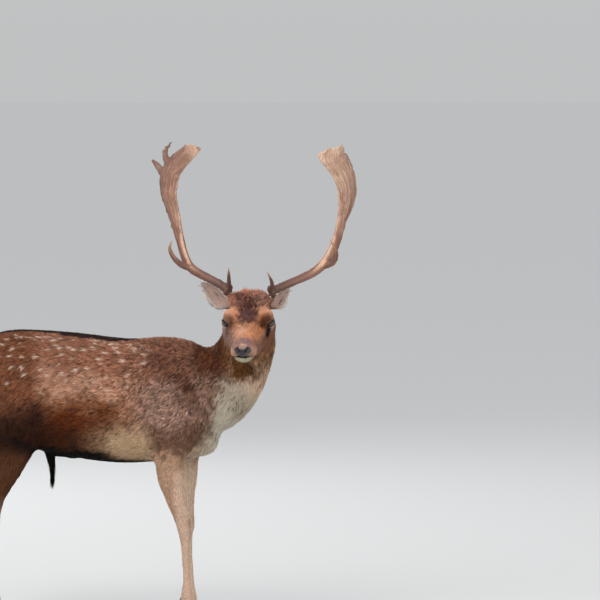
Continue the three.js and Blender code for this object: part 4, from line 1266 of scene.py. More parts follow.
def coatPiece(name, hide, finish):
    names, side, part, slot = coatPieces[name]
    dice = np.random.default_rng(sorted(coatPieces).index(name) + 100)
    corner = hide.triangles
    owner = np.isin(hide.parts[corner[:, 0]], [fleshNodes.index(n) for n in names])
    middle = hide.points[corner].mean(1)
    if side:
        owner &= middle[:, 1] * side >= 0
    corner = corner[owner]
    a, b, c = hide.points[corner.T]
    area = np.linalg.norm(np.cross(b - a, c - a), axis=1) / 200  # square centimetres
    many = area * hide.coat[corner, 4].mean(1)
    count = int(min(many.sum(), mostTufts))
    print(f"{name}: {area.sum():.0f} cm2, {many.sum():.0f} tufts wanted, {count} made")
    at = np.searchsorted(np.cumsum(many), (np.arange(count) + dice.random(count)) / count * many.sum())
    at = np.clip(at, 0, len(corner) - 1)
    s, t = np.sqrt(dice.random(count)), dice.random(count)
    shares = np.stack([1 - s, s * (1 - t), s * t], 1)

    def there(values):
        found = values[corner[at]]
        return (found * shares.reshape(*shares.shape, *[1] * (found.ndim - 2))).sum(1)

    root, normal, way = there(hide.points), unit(there(hide.normals)), unit(there(hide.flow))
    length, width, rise, wild, _ = there(hide.coat).T
    weights = {key: there(value) for key, value in hide.weights.items()}
    tone = coatColours(root, weights)
    # neighbours lean together, and each a little its own way
    clump, small = Noise(34, 31)(root), Noise(13, 32)(root)
    lean = wild * (0.75 * clump + 0.7 * small + 0.7 * dice.normal(size=count))
    cross = np.cross(normal, way)
    way = way * np.cos(lean)[:, None] + cross * np.sin(lean)[:, None]
    length = length * dice.uniform(*variety["length"], count)
    width = width * dice.uniform(*variety["width"], count)
    rise = rise * dice.uniform(*variety["rise"], count)
    bend = length * wild * 0.4 * dice.normal(size=count)
    up = unit(normal + way * (wild * 1.1 * small)[:, None] + cross * (wild * 0.8 * clump)[:, None])
    tip = root + way * (length * 0.96)[:, None] + up * rise[:, None] + cross * bend[:, None]
    lock, shared = gathered(root, tip, count, dice)
    pull = shared - tip
    draw = locks["gather"] * smoothstep(wild, 0.1, 0.24) * dice.uniform(0.5, 1.2, count)
    tip = tip + pull * (draw * np.minimum(1, length * 0.45 / np.linalg.norm(pull + 1e-6, axis=1)))[:, None]
    points, facing = tuftArrays(root, way, up, length, width, rise, tip)
    # dark and light locks: strongest on the shoulder and neck, and faint where the coat is pale
    shoulder = smoothstep(root[:, 0], -330, -60) * smoothstep(root[:, 2], 560, 640)
    rough = np.clip(weights["neck"] + shoulder, 0, 1)
    onLeg = sum(weights[leg] for leg in legNames)
    plain = np.clip(weights["head"] + weights["ear"] + onLeg, 0, 1)
    rough = rough * (1 - 0.97 * smoothstep(tone.mean(1), 0.26, 0.38)) * (1 - plain)
    lockDice = np.random.default_rng(count)
    lockLight = np.exp(lockDice.normal(size=lock.max() + 1) * locks["contrast"])
    lockLight = lockLight.clip(locks["darkest"], locks["lightest"])
    lockRank = lockDice.random(lock.max() + 1)
    flecks = smoothstep(Noise(17, 34)(root * (0.5, 1, 1)), -0.4, 1.3)
    brown = 1 - smoothstep(tone.mean(1), 0.2, 0.36)
    dark = lockRank[lock] < 0.09 * (1 - plain) * brown + (0.14 + 0.36 * flecks) * rough
    light = lockLight[lock] ** (0.1 + 0.6 * brown * (1 - plain) + 0.35 * rough)
    light *= np.exp(dice.normal(size=count) * (0.07 + 0.1 * brown))
    light *= np.where(dark, locks["fleck"], 1) * (1 + 0.13 * rough)
    shown = tone[:, None] * light[:, None, None] * tuftShades[None, :, None]
    faces = (tuftFaces[None] + np.arange(count)[:, None, None] * len(tuftSpots)).reshape(-1, 3)
    mesh = fromArrays(name, points.reshape(-1, 3), faces)
    mesh.polygons.foreach_set("use_smooth", np.ones(len(faces), bool))
    # the coat takes light as one soft surface
    mesh.normals_split_custom_set_from_vertices(facing.reshape(-1, 3))
    putValues(mesh, "tone", shown.reshape(-1, 3))
    spots = unrolled(root, part)[:, None] + (tuftSpots - 0.5)[None] * patchSize
    putUnwrap(mesh, spots.reshape(-1, 2))
    piece = meshObject(name, mesh, finish)
    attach(piece, "root")
    return piece


# Antlers. Places along each piece in the skull's frame: ahead, out to its own side, up, half thickness, half
# width.
antlers = {
    "right": {
        "beam": [(40, 44, 20, 16, 16), (33, 58, 42, 13, 13.5), (8, 102, 60, 12, 12.5),
                 (-29, 170, 80, 13, 15), (-62, 196, 105, 12.5, 14), (-95, 211, 139, 12, 14),
                 (-132, 227, 188, 10.5, 21.5), (-156, 239, 224, 9, 29.5), (-173, 251, 265, 8, 38),
                 (-188, 246, 315, 7, 48), (-196, 216, 359, 6, 61), (-200, 190, 390, 5, 54),
                 (-201, 187, 407, 4, 30)],
        "brow": [(34, 56, 42, 9, 9), (42, 58, 72, 7, 7), (48, 57, 100, 5, 5), (52, 56, 128, 1.5, 1.5)],
        "trez": [(-32, 172, 82, 11, 11), (-22, 204, 100, 10, 10), (-14, 226, 130, 8, 8),
                 (-9, 234, 160, 5.5, 5.5), (-6, 224, 187, 1.5, 1.5)],
        "palmFrom": 250, "bright": 0.0,
    },
    "left": {
        "beam": [(38, 46, 16, 16, 16), (29, 60, 34, 13, 13.5), (0, 106, 48, 12, 12.5),
                 (-42, 172, 61, 12.5, 14), (-74, 212, 82, 12.5, 15), (-112, 238, 114, 12, 15),
                 (-146, 251, 146, 11, 15), (-173, 258, 174, 10, 17.5), (-194, 268, 201, 9, 26.5),
                 (-212, 274, 240, 8, 35.5), (-222, 271, 276, 7.5, 42), (-226, 256, 315, 6.5, 52),
                 (-226, 238, 352, 6, 62), (-229, 239, 370, 5, 50), (-232, 246, 386, 3, 25)],
        "brow": [(29, 58, 34, 9, 9), (38, 68, 58, 7.5, 7.5), (43, 65, 84, 5, 5), (46, 54, 112, 1.5, 1.5)],
        "trez": [(-66, 204, 76, 11, 11), (-58, 238, 90, 9.5, 9.5), (-51, 250, 120, 7.5, 7.5),
                 (-47, 246, 148, 5, 5), (-44, 232, 174, 1.5, 1.5)],
        "palmFrom": 290, "bright": 1.0,
    },
    "palmFront": (0.6, -0.74, 0.29),
    "voxel": 1.9, "fluting": 1.15, "ribs": 0.9, "pearls": 1.5, "scallops": 4.5,
}
tones.update({
    "antlerBase": (88, 60, 52), "antlerGroove": (96, 64, 54), "antlerMid": (138, 96, 80),
    "ridgeWearAndHighlight": (214, 172, 142), "palm": (164, 120, 100), "palmBright": (206, 168, 142),
    "palmRidge": (224, 190, 164), "tine": (86, 56, 45), "tip": (190, 140, 108),
})


def curveOf(rows, side, steps):  # an antler's line in the body's frame, with its half thickness and width
    rows = refinedRows([(a, side * o, u, t, w) for a, o, u, t, w in rows], steps)
    return offSkull(rows[:, :3]), rows[:, 3], rows[:, 4]


def alongCurve(points, line):  # nearest place on a line: how far along, index and distance
    best = np.full(len(points), np.inf)
    index = np.zeros(len(points))
    for i, (a, b) in enumerate(zip(line, line[1:])):
        t, far = alongSegment(points, a, b)
        nearer = far < best
        best = np.where(nearer, far, best)
        index = np.where(nearer, i + t, index)
    return index, best


def antlerPiece(name, side):
    shape = antlers[name]
    beamNodes = [f"antler_{name}_{piece}" for piece in ("beam", "palm", "brow_tine", "trez_tine")]
    mesh = clayOf(beamNodes, antlers["voxel"], swell=0.3)
    web = Web(mesh)
    points = web.spread(pointsOf(mesh), 7, 0.5)
    front = skullWay(np.array(antlers["palmFront"]) * (1, side, 1))
    found = {}
    for part in ("beam", "brow", "trez"):
        line, thick, wide = curveOf(shape[part], side, 6)
        index, far = alongCurve(points, line)
        i = np.clip(index.astype(int), 0, len(line) - 2)
        share = index - i
        at = line[i] + (line[i + 1] - line[i]) * share[:, None]
        steps = np.concatenate([[0], np.cumsum(np.linalg.norm(np.diff(line, axis=0), axis=1))])
        way = unit(line[i + 1] - line[i])
        ahead = unit(front - (way @ front)[:, None] * way)
        flat = np.cross(way, ahead)
        t, w = np.interp(index, np.arange(len(line)), thick), np.interp(index, np.arange(len(line)), wide)
        away = points - at
        found[part] = {
            "along": np.interp(index, np.arange(len(line)), steps), "length": steps[-1],
            "across": (away * ahead).sum(1) / w, "deep": (away * flat).sum(1) / t,
            "out": unit(away), "way": way, "near": far / w,
        }
    beam, brow, trez = found["beam"], found["brow"], found["trez"]
    palm = smoothstep(beam["along"], shape["palmFrom"], shape["palmFrom"] + 90)
    onBrow = (brow["near"] < beam["near"] * 0.9) & (brow["along"] > 16)
    onTrez = (trez["near"] < beam["near"] * 0.9) & (trez["along"] > 22)
    tine = onBrow | onTrez
    tineWeight = web.spread(tine.astype(float), 6)

    def pick(key):
        return np.where(onBrow, brow[key], np.where(onTrez, trez[key], beam[key]))

    along, across, deep = pick("along"), pick("across"), pick("deep")
    spread = 13 + 34 * palm * (1 - tine)
    grainAt = np.stack([across * spread, deep * 10, along * 0.075 + 9.0 * onBrow + 17.0 * onTrez], 1)
    flutes, ribs = Noise(15, 41 + side)(grainAt), Noise(8, 51 + side)(grainAt)
    crest = np.exp(-(np.abs(flutes - 0.2) / 0.28) ** 2)
    fine = np.exp(-(np.abs(ribs) / 0.35) ** 2)
    crest, fine = web.spread(crest, 1, 0.5), web.spread(fine, 1, 0.5)
    normals = normalsOf(points, trianglesOf(mesh))
    start = smoothstep(beam["along"], 130, 50) * (1 - tineWeight)
    knobs = np.maximum(Noise(7, 61)(points) - 0.35, 0)
    foot = blob(beam["along"][:, None], (22,), (7,)) * (1 - tineWeight)
    calm = 1 - 0.65 * tineWeight
    rise = antlers["fluting"] * (crest - 0.45) * (1 - 0.5 * palm)
    rise = (rise + antlers["ribs"] * (fine - 0.4) * (0.35 + 0.65 * palm)) * calm
    rise += antlers["pearls"] * knobs * start + 2.2 * np.maximum(Noise(6, 62)(points), -0.4) * foot
    points = points + normals * rise[:, None]
    aside = np.abs(across)
    edge = smoothstep(aside, 0.8, 1.05) * palm * (1 - tine) * (1 - smoothstep(aside, 1.15, 1.4))
    top = smoothstep(beam["along"], beam["length"] - 34, beam["length"] - 6) * (1 - tine)
    snag = smoothstep(aside, 1.1, 1.3) * palm * (1 - tine)
    top = top * (1 - snag)
    wave = Noise(24, 71 + side)(points) + 0.5 * Noise(11, 72)(points)
    points = points + beam["out"] * (antlers["scallops"] * 0.4 * wave * edge)[:, None]
    points = points + normals * (1.5 * snag)[:, None]
    high = antlers["scallops"] * (0.45 + 0.55 * shape["bright"])
    points = points + beam["way"] * (high * np.maximum(wave, -0.8) * top)[:, None]
    points = points + (web.spread(points, 10, 0.5) - points) * snag[:, None]
    points = points + normals * (0.8 * snag)[:, None]
    setPoints(mesh, web.spread(points, 1, 0.35))
    length = beam["length"]
    tone = Paint("antlerMid", len(points))
    tone.lay("antlerBase", smoothstep(beam["along"], 190, 40) * 0.9)
    tone.lay("palm", palm * 0.8)
    tone.lay("palmBright", smoothstep(beam["along"], length * 0.66, length * 0.86) * shape["bright"])
    tone.lay("antlerGroove", (1 - crest) * 0.45 * (1 - 0.6 * palm))
    tone.lay("antlerGroove", (1 - fine) * (0.2 + 0.2 * palm))
    # painted highlight: a pale stripe where the beam faces the front, faint near its base; the ridges of the
    # fluting are worn pale
    dim = 0.12 + 0.88 * smoothstep(beam["along"], 140, 215)
    ahead = skullWay(unit(np.array([0.86, -0.5 * side, 0.1])))
    ahead = unit(ahead - (beam["way"] @ ahead)[:, None] * beam["way"])
    facing = (normals * ahead).sum(1)
    frontHighlight = web.spread(smoothstep(facing + 0.05 * flutes, 0.88, 1.0), 2)
    frontHighlight = frontHighlight * (1 - 0.5 * palm) * (1 - tineWeight)
    tone.lay("ridgeWearAndHighlight", (frontHighlight * 0.85 + crest * 0.2) * dim)
    tone.lay("palmRidge", fine * palm * (0.2 + 0.35 * shape["bright"]))
    tone.lay("palmRidge", np.maximum(edge, top) * (0.3 + 0.2 * shape["bright"]))
    tone.lay("tine", tineWeight * np.where(onBrow, 0.95, 0.25))
    # painted highlight on the trez where it faces the front
    bright = smoothstep(facing, 0.5, 0.97)
    tone.lay("ridgeWearAndHighlight", 0.55 * tineWeight * onTrez * bright * smoothstep(trez["along"], 50, 90))
    tone.lay("antlerBase", 0.62 * palm * smoothstep(across, 0.2, -0.9) * (1 - 0.4 * shape["bright"]))
    tips = np.where(onBrow, smoothstep(brow["along"], brow["length"] - 34, brow["length"]),
                    np.where(onTrez, smoothstep(trez["along"], trez["length"] - 60, trez["length"]), 0))
    tone.lay("tip", tips * 0.85)
    tone.lay("antlerBase", start * 0.5)
    piece = meshObject(f"antler_{name}", mesh, antlerMaterial)
    dressed(mesh, tone.colours)
    putValues(mesh, "grain", grainAt)
    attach(piece, "root")
    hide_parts(*beamNodes)
    print(f"{piece.name}: {len(mesh.polygons)} faces, {length:.0f} mm along the beam")


def antlerFinish():
    finish = Finish("antler_bone", Roughness=0.6, Specular_IOR_Level=0.4)
    tone = finish.value("tone", colour=True)
    along = finish.node("ShaderNodeAttribute", {"attribute_name": "grain"}, {}, "Vector")
    grain = finish.noise(along, 0.9, 4, 0.6, 0.4)
    stains = finish.noise(finish.place(), 22, 4, 0.6)
    pits = finish.noise(finish.place(), 900, 2)
    light = finish.between(grain, 0.3, 0.7, (0.74, 1.16)) * finish.between(stains, 0.3, 0.7, (0.84, 1.12))
    worn = finish.between(stains, 0.35, 0.65, (0.05, -0.05))
    rough = finish.between(grain, 0.3, 0.7, (0.72, 0.48)) + worn
    rise = grain * 0.8 + pits * 0.2
    return finish.feed(Base_Color=finish.tinted(tone, light), Roughness=rough,
                       Normal=finish.bump(rise, 0.6, 0.0011))


# The eyeballs: places and sizes from the middle of the ball.
eyeball = {
    "radius": 16.3, "cornea": 1.0, "corneaSpread": 0.42, "iris": 11.2, "pupilSheen": (7.4, 3.4), "spokes": 37,
    "rings": 56, "around": 72, "cover": 0.62,  # share of the ball that is made
}

tones.update({
    "eyeDark": (14, 9, 7), "iris": (70, 48, 36), "pupilSheen": (60, 60, 68), "eyeWhite": (96, 80, 70),
})


def eyePiece(name, side):
    ahead, up, out = (skullWay(w) for w in eyeWays(side))
    centre = offSkull(eyeAt(side))
    rings, around = eyeball["rings"], eyeball["around"]
    lean = np.concatenate([[0], np.linspace(0.5, rings, rings) / rings * math.pi * eyeball["cover"]])
    turn = np.arange(around) * 2 * math.pi / around
    reach = eyeball["radius"] + eyeball["cornea"] * np.exp(-0.5 * (lean / eyeball["corneaSpread"]) ** 2)
    flat = np.sin(lean) * reach
    spots = np.stack([np.outer(flat, np.cos(turn)), np.outer(flat, np.sin(turn)),
                      np.outer(np.cos(lean) * reach, np.ones(around))], -1)
    spots = np.concatenate([spots[:1, 0], spots[1:].reshape(-1, 3), [[0, 0, -eyeball["radius"] * 0.4]]])
    last = len(spots) - 1
    faces = [(0, 1 + j, 1 + (j + 1) % around) for j in range(around)]
    base = 1 + (len(lean) - 2) * around
    for ring in range(1, base, around):
        for j in range(around):
            a, b = ring + j, ring + (j + 1) % around
            faces += [(a, a + around, b + around), (a, b + around, b)]
    faces += [(last, base + (j + 1) % around, base + j) for j in range(around)]
    points = centre + spots[:, :1] * ahead + spots[:, 1:2] * up + spots[:, 2:] * out
    mesh = facedOut(fromArrays(name, points, faces))
    away = np.hypot(spots[:, 0], spots[:, 1])
    iris = eyeball["iris"]
    spokes = 0.5 + 0.5 * np.sin(np.arctan2(spots[:, 1], spots[:, 0]) * eyeball["spokes"] + away)
    tone = Paint("eyeWhite", len(spots))
    tone.lay("eyeDark", smoothstep(away, iris + 2.4, iris + 0.6))
    tone.lay("iris", smoothstep(away, iris - 0.3, iris - 2.2) * (0.7 + 0.3 * spokes))
    inPupil = np.hypot(spots[:, 0] / eyeball["pupilSheen"][0], spots[:, 1] / eyeball["pupilSheen"][1])
    # painted reflection: the pupil is painted bluish grey, lighter than its dark ring, as the sky shows in
    # it
    tone.lay("pupilSheen", smoothstep(inPupil, 1.12, 0.9))
    piece = meshObject(name, mesh, eyeMaterial)
    dressed(mesh, tone.colours)
    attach(piece, "root")
    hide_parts(name.replace("eyeball", "eye"))


def eyeFinish():
    finish = Finish("eye_wet", Roughness=0.07, Specular_IOR_Level=0.55)
    tone = finish.value("tone", colour=True)
    flecks = finish.noise(finish.place(), 700, 3)
    return finish.feed(Base_Color=finish.tinted(tone, finish.between(flecks, 0.3, 0.7, (0.75, 1.25))))


# The bare leather of the nose.
nosePad = {
    "voxel": 1.0,
    # each nostril is a comma: places across and up from the pad's middle, radius, depth
    "nostril": [((9.5, 1.5), (14.0, 7.0), 3.0, 6.5), ((14.0, 7.0), (19.5, 11.5), 3.4, 6.5),
                ((19.5, 11.5), (23.0, 12.0), 2.6, 4.5)],
    "groove": ((0, 3), (0, -14), 1.2, 1.6),
    "bulge": ((9, -5), (6.5, 5), 1.2),
}

tones.update({
    "nose": (50, 45, 52), "noseTop": (146, 116, 108), "noseEdge": (92, 78, 76), "nostril": (7, 6, 8),
})


def padPiece():
    mesh = clayOf(["nose_pad"], nosePad["voxel"], swell=0.5)
    web = Web(mesh)
    h = onSkull(web.spread(pointsOf(mesh), 8, 0.5)) - skull["nosePad"]
    flat = h[:, (1, 2, 0)] * (1, 1, 0)
    facing = smoothstep(h[:, 0], -3, 4)
    deep = np.zeros(len(h))
    for side in (1, -1):
        for (y0, z0), (y1, z1), radius, depth in nosePad["nostril"]:
            deep = np.maximum(deep, depth * ridge(flat, (side * y0, z0, 0), (side * y1, z1, 0), radius))
    (y0, z0), (y1, z1), radius, depth = nosePad["groove"]
    grooved = depth * ridge(flat, (y0, z0, 0), (y1, z1, 0), radius)
    (y, z), radii, height = nosePad["bulge"]
    bulge = sum(height * blob(flat, (s * y, z, 0), (*radii, 1)) for s in (1, -1))
    h[:, 0] += (bulge - deep - grooved) * facing
    h[:, 1] *= 1 - padNarrows * smoothstep(h[:, 2], 6.8, -11.9)
    points = offSkull(h + skull["nosePad"])
    setPoints(mesh, points)
    tone = Paint("nose", len(h))
    tone.lay("noseEdge", smoothstep(h[:, 2], 7, 15) * 0.6)
    tone.lay("noseTop", smoothstep(h[:, 2], 8.5, 13.5) * smoothstep(np.abs(h[:, 1]), 14, 8) * 0.85)
    tone.lay("nostril", smoothstep(deep, 0.8, 3.0))
    piece = meshObject("nose_leather", mesh, noseMaterial)
    dressed(mesh, tone.colours)
    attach(piece, "root")
    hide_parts("nose_pad")


def noseFinish():
    finish = Finish("nose_wet", Roughness=0.34, Specular_IOR_Level=0.4, Coat_Weight=0.1, Coat_Roughness=0.2)
    tone = finish.value("tone", colour=True)
    cells = finish.node("ShaderNodeTexVoronoi", {"feature": "F1"}, {"Vector": finish.place(), "Scale": 620})
    wet = finish.noise(finish.place(), 160, 3)
    light = finish.between(cells, 0.0, 0.6, (1.25, 0.7))
    rough = finish.between(wet, 0.3, 0.7, (0.24, 0.5))
    return finish.feed(Base_Color=finish.tinted(tone, light), Roughness=rough,
                       Normal=finish.bump(1 - cells, 0.7, 0.0008))


# Hooves and dewclaws.
# Spacing, height and slant of the growth rings.
hoof = {"voxel": 1.6, "rings": 3.4, "height": 0.16, "slant": 0.28}

tones.update({
    "hoof": (46, 39, 35), "hoofPale": (96, 84, 72),
})


def hoofPiece(name):
    mesh = clayOf([name], hoof["voxel"], swell=0.2)
    web = Web(mesh)
    points = web.spread(pointsOf(mesh), 6, 0.5)
    low = points[:, 2].min()
    down = points[:, 2] - hoof["slant"] * (points[:, 0] - points[:, 0].mean())
    rings = np.sin(down * 2 * math.pi / hoof["rings"] + 0.6 * Noise(18, 81)(points))
    above = smoothstep(points[:, 2], low + 2, low + 5)
    points = points + normalsOf(points, trianglesOf(mesh)) * (hoof["height"] * rings * above)[:, None]
    points[:, 2] = np.maximum(points[:, 2], 0.2)
    setPoints(mesh, points)
    tone = Paint("hoof", len(points))
    tone.lay("hoofPale", (0.5 + 0.5 * rings) * 0.3)
    tone.lay("hoofPale", smoothstep(points[:, 2], low + 9, low + 1) * 0.5)
    piece = meshObject(f"{name}_horn", mesh, hoofMaterial)
    dressed(mesh, tone.colours)
    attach(piece, "root")
    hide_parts(name)


def hoofFinish():
    finish = Finish("hoof_horn", Roughness=0.45, Specular_IOR_Level=0.4)
    tone = finish.value("tone", colour=True)
    fibres = finish.noise(finish.place((1, 1, 0.12)), 900, 3)
    scuffs = finish.noise(finish.place(), 120, 4, 0.6)
    light = finish.between(fibres, 0.3, 0.7, (0.75, 1.2)) * finish.between(scuffs, 0.35, 0.7, (0.9, 1.25))
    rough = finish.between(scuffs, 0.3, 0.7, (0.36, 0.62))
    return finish.feed(Base_Color=finish.tinted(tone, light), Roughness=rough,
                       Normal=finish.bump(fibres, 0.5, 0.0006))


# Long locks: the tuft of the sheath, the curls of the crown and the eyelashes.
sheathTuft = {
    "locks": 420, "parts": 8, "thick": 1.15, "swing": 2.6,
    # place along the body, height, half length, half width
    "rows": [(-400, 540, 27, 15), (-400, 522, 20, 12), (-398, 500, 12.5, 9.5), (-395, 474, 8.0, 7),
             (-393, 440, 5.0, 5.0), (-394, 416, 3.0, 3.0), (-395, 400, 1.4, 1.4)],
}


def lockMesh(name, lines, radii, tone):  # closed round locks of three sides along many lines
    count, parts = lines.shape[:2]
    ways = unit(np.gradient(lines, axis=1))
    side = unit(np.cross(ways, (0.31, 0.72, 0.62)))
    up = np.cross(ways, side)
    rings = [lines + (side * math.cos(a) + up * math.sin(a)) * radii[..., None] for a in (0, 2.094, 4.189)]
    points = np.stack(rings, 2).reshape(-1, 3)
    faces = [(0, 2, 1)]
    for i in range(parts - 1):
        for k in range(3):
            a, b = i * 3 + k, i * 3 + (k + 1) % 3
            faces += [(a, b, b + 3), (a, b + 3, a + 3)]
    end = parts * 3 - 3
    faces = np.array(faces + [(end, end + 1, end + 2)])
    faces = (faces[None] + np.arange(count)[:, None, None] * parts * 3).reshape(-1, 3)
    mesh = facedOut(fromArrays(name, points, faces))
    # painted shading along each lock: darker at the root, lighter at the tip
    shade = np.linspace(0.7, 1.15, parts)[None, :, None, None]
    shades = np.broadcast_to(tone[:, None, None] * shade, (count, parts, 3, 3))
    dressed(mesh, shades.reshape(-1, 3))
    return mesh


def putPatches(mesh, centres, parts):  # each lock's patch of the unwrap
    rows = np.meshgrid(np.linspace(0, 1, parts), (0, 0.5, 1), indexing="ij")
    spots = np.stack(rows[::-1], -1).reshape(-1, 2)
    putUnwrap(mesh, (centres[:, None] + (spots - 0.5)[None] * patchSize).reshape(-1, 2))


def sheathPiece():
    dice = np.random.default_rng(91)
    count, parts = sheathTuft["locks"], sheathTuft["parts"]
    rows = np.array(sheathTuft["rows"], float)
    turn, far = dice.uniform(0, 2 * math.pi, count), np.sqrt(dice.uniform(0, 1, count))
    length = 1 - 0.5 * far * dice.uniform(0.1, 1, count)
    share = np.linspace(0, 1, parts)
    height = rows[0, 1] + (rows[-1, 1] - rows[0, 1]) * share[None] * length[:, None]
    middle, long, wide = (np.interp(-height, -rows[:, 1], rows[:, k]) for k in (0, 2, 3))
    swing = dice.normal(size=(count, 1)) * sheathTuft["swing"] * share ** 1.5
    lines = np.stack([middle + (far * np.cos(turn))[:, None] * long + swing,
                      (far * np.sin(turn))[:, None] * wide + swing[::-1], height], -1)
    radii = sheathTuft["thick"] * (1.05 - share ** 1.5)[None] * dice.uniform(0.7, 1.3, (count, 1))
    tone = toneOf("black") * np.exp(dice.normal(size=(count, 1)) * 0.35)
    mesh = lockMesh("sheath_tuft", lines, radii, tone)
    putPatches(mesh, np.stack([turn / (2 * math.pi), far], 1) * 0.9 + 0.05, parts)
    piece = meshObject("sheath_tuft", mesh, coatMaterial)
    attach(piece, "root")
    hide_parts("belly_tuft")


crownCurls = {"count": 2400, "parts": 6, "length": (13, 23), "thick": 0.8, "coil": 2.2, "turns": (0.4, 1.1),
              "droop": 0.28}


def crownPiece(hide):  # curled hair between the antlers
    dice = np.random.default_rng(92)
    count, parts = crownCurls["count"], crownCurls["parts"]
    corner = hide.triangles
    a, b, c = hide.points[corner.T]
    area = np.linalg.norm(np.cross(b - a, c - a), axis=1) * smoothstep(hide.crown[corner].mean(1), 0.3, 0.8)
    at = dice.choice(len(corner), count, p=area / area.sum())
    shares = dice.dirichlet((1, 1, 1), count)
    root, normal, way = (np.einsum("ij,ijk->ik", shares, v[corner[at]])
                         for v in (hide.points, hide.normals, hide.flow))
    normal = unit(normal)
    lean = 1.2 * Noise(17, 93)(root) + 0.6 * dice.normal(size=count)
    way = unit(way * np.cos(lean)[:, None] + np.cross(normal, way) * np.sin(lean)[:, None]
               + normal * dice.uniform(0.1, 0.8, (count, 1)))
    side = unit(np.cross(way, normal))
    up = np.cross(side, way)
    length = dice.uniform(*crownCurls["length"], count)
    share = np.linspace(0, 1, parts)
    phase = dice.uniform(0, 2 * math.pi, (count, 1))
    phase = phase + share * 2 * math.pi * dice.uniform(*crownCurls["turns"], (count, 1))
    coil = crownCurls["coil"] * share ** 0.7 * dice.uniform(0.6, 1.4, (count, 1))
    first = phase[:, :1]
    sideways, upwards = coil * (np.cos(phase) - np.cos(first) * (1 - share)), coil * np.sin(phase)
    lines = root[:, None] + way[:, None] * (length[:, None] * share)[..., None] - normal[:, None] * 0.8
    lines = lines + side[:, None] * sideways[..., None] + up[:, None] * upwards[..., None]
    droop = length[:, None] * crownCurls["droop"] * share ** 2
    lines = lines - normal[:, None] * droop[..., None]
    radii = crownCurls["thick"] * (1.1 - share ** 1.6)[None] * dice.uniform(0.7, 1.3, (count, 1))
    weights = {key: np.einsum("ij,ij->i", shares, v[corner[at]]) for key, v in hide.weights.items()}
    tone = coatColours(root, weights) * np.exp(dice.normal(size=(count, 1)) * 0.25)
    mesh = lockMesh("coat_crown", lines, radii, tone)
    putPatches(mesh, unrolled(root, "head"), parts)
    piece = meshObject("coat_crown", mesh, coatMaterial)
    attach(piece, "root")


lashes = {"count": 56, "parts": 5, "length": 5.0, "thick": 0.34, "reach": (-12.4, 11.5)}


def lashesPiece():
    dice = np.random.default_rng(95)
    count, parts = lashes["count"], lashes["parts"]
    share = np.linspace(0, 1, parts)[None, :, None]
    lines = []
    for side in (1, -1):
        ahead, up, out = (skullWay(w) for w in eyeWays(side))
        centre = offSkull(eyeAt(side))
        x = np.linspace(*lashes["reach"], count)
        power = eyeShape["roundness"]
        y = eyeShape["above"] * (1 - np.abs(x / eyeShape["halfLength"]) ** power) ** (1 / power) + 0.8
        reach = eyeShape["radius"] + eyeShape["lid"] + 0.4
        z = np.sqrt(np.maximum(reach ** 2 - x ** 2 - y ** 2, 1))
        root = centre + x[:, None] * ahead + y[:, None] * up + z[:, None] * out
        way = out * 0.95 + up * 0.1 + (x / 16)[:, None] * ahead + dice.normal(size=(count, 3)) * 0.07
        length = lashes["length"] * dice.uniform(0.75, 1.1, count) * (1 - 0.5 * (x / 14) ** 2)
        length = length[:, None, None]
        line = root[:, None] + unit(way)[:, None] * length * share
        lines.append(line + up * length * (0.42 * share ** 2 - 0.3 * share))
    lines = np.concatenate(lines)
    radii = np.broadcast_to(lashes["thick"] * (1.05 - share[0, :, 0])[None], lines.shape[:2])
    mesh = lockMesh("eyelashes", lines, radii, np.tile(toneOf("black"), (len(lines), 1)))
    putPatches(mesh, unrolled(lines[:, 0], "head"), parts)
    piece = meshObject("eyelashes", mesh, coatMaterial)
    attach(piece, "root")


# All the pieces, from the skin outwards.
skin = meshObject("skin", skinMesh(), skinFinish())
hide = Hide(skin.data)
dressed(skin.data, coatColours(hide.points, hide.weights) * underCoat)
putValues(skin.data, "bare", hide.bare)
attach(skin, "root")
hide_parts(*fleshNodes)
coatMaterial = coatFinish("coat_tufts")
for pieceName in coatPieces:
    coatPiece(pieceName, hide, coatMaterial)
crownPiece(hide)
lashesPiece()
sheathPiece()
print("coat done")
antlerMaterial, eyeMaterial = antlerFinish(), eyeFinish()
noseMaterial, hoofMaterial = noseFinish(), hoofFinish()
for sideName, mirror in (("right", -1), ("left", 1)):
    antlerPiece(sideName, mirror)
    eyePiece(f"eyeball_{sideName}", mirror)
padPiece()
for nodeName in nodes:
    if "claw" in nodeName:
        hoofPiece(nodeName)
print("antlers, eyes, nose and hooves done")


# Studio and camera.
view = {"azimuth": 12, "elevation": 3, "distance": 14, "at": (350, 74, 976), "halfWidth": 893}
studio = {
    "floor": (0.60, 0.60, 0.59), "horizon": (0.555, 0.56, 0.565), "sky": (0.96, 0.98, 1.02),
    "skyFrom": 0.75, "strength": 0.95, "radius": 150,
    # lamps: place, size, power, tint
    "key": ((-2.2, -6.0, 5.0), 4.5, 330, (1, 0.98, 0.95)),
    "front": ((4.5, -4.5, 3.2), 3.5, 140, (1, 0.99, 0.97)),
    "back": ((-3.0, 4.2, 3.8), 3.5, 110, (0.96, 0.98, 1)),
}


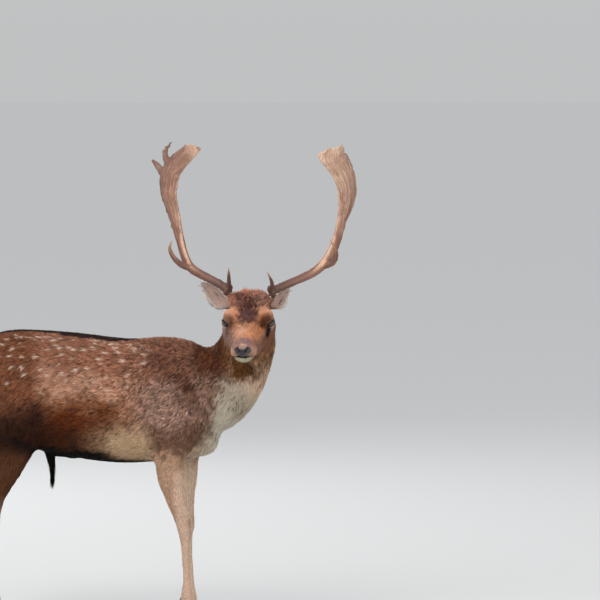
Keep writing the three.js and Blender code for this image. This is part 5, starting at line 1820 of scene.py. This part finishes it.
def addCamera():
    at = (np.array(view["at"]) + bodyAt) / 1000
    turn, lift = math.radians(view["azimuth"]), math.radians(view["elevation"])
    back = Vector((math.sin(turn) * math.cos(lift), -math.cos(turn) * math.cos(lift), math.sin(lift)))
    camera = bpy.data.objects.new("camera", bpy.data.cameras.new("camera"))
    camera.location = Vector(at) + back * view["distance"]
    camera.rotation_euler = back.to_track_quat("Z", "Y").to_euler()
    sensor = camera.data.sensor_width
    camera.data.lens = sensor * view["distance"] / (2 * view["halfWidth"] / 1000)
    camera.data.clip_end = 300
    bpy.context.scene.collection.objects.link(camera)
    bpy.context.scene.camera = camera


def addLight(name, at, size, power, tint, aim=(0, 0, 0.8)):
    lamp = bpy.data.lights.new(name, "AREA")
    lamp.size, lamp.energy, lamp.color = size, power, tint
    holder = bpy.data.objects.new(name, lamp)
    holder.location = at
    holder.rotation_euler = (Vector(at) - Vector(aim)).to_track_quat("Z", "Y").to_euler()
    bpy.context.scene.collection.objects.link(holder)


def addWorld():  # a soft sky that is brightest overhead
    world = bpy.data.worlds.new("studio")
    world.use_nodes = True
    nodes = Nodes(world.node_tree)
    place = nodes.node("ShaderNodeTexCoord", {}, {}, "Generated")
    height = nodes.node("ShaderNodeSeparateXYZ", {}, {0: place}, "Z")
    stops = [(0.0, studio["horizon"]), (studio["skyFrom"], studio["sky"])]
    light = nodes.node("ShaderNodeValToRGB", {"stops": stops}, {0: height}, "Color")
    background = nodes.tree.nodes["Background"]
    nodes.tree.links.new(light.socket, background.inputs["Color"])
    background.inputs["Strength"].default_value = studio["strength"]
    bpy.context.scene.world = world


def addStudio():
    floor = meshObject("floor", bpy.data.meshes.new("floor"))
    work = bmesh.new()
    bmesh.ops.create_circle(work, cap_ends=True, radius=studio["radius"], segments=128)
    work.to_mesh(floor.data)
    work.free()
    finish = Finish("floor", Roughness=0.9, Specular_IOR_Level=0.0, Base_Color=(*studio["floor"], 1))
    floor.data.materials.append(finish.material)
    addWorld()
    for name in ("key", "front", "back"):
        addLight(name, *studio[name])
    bpy.context.scene.view_settings.view_transform = "Standard"


addCamera()
addStudio()
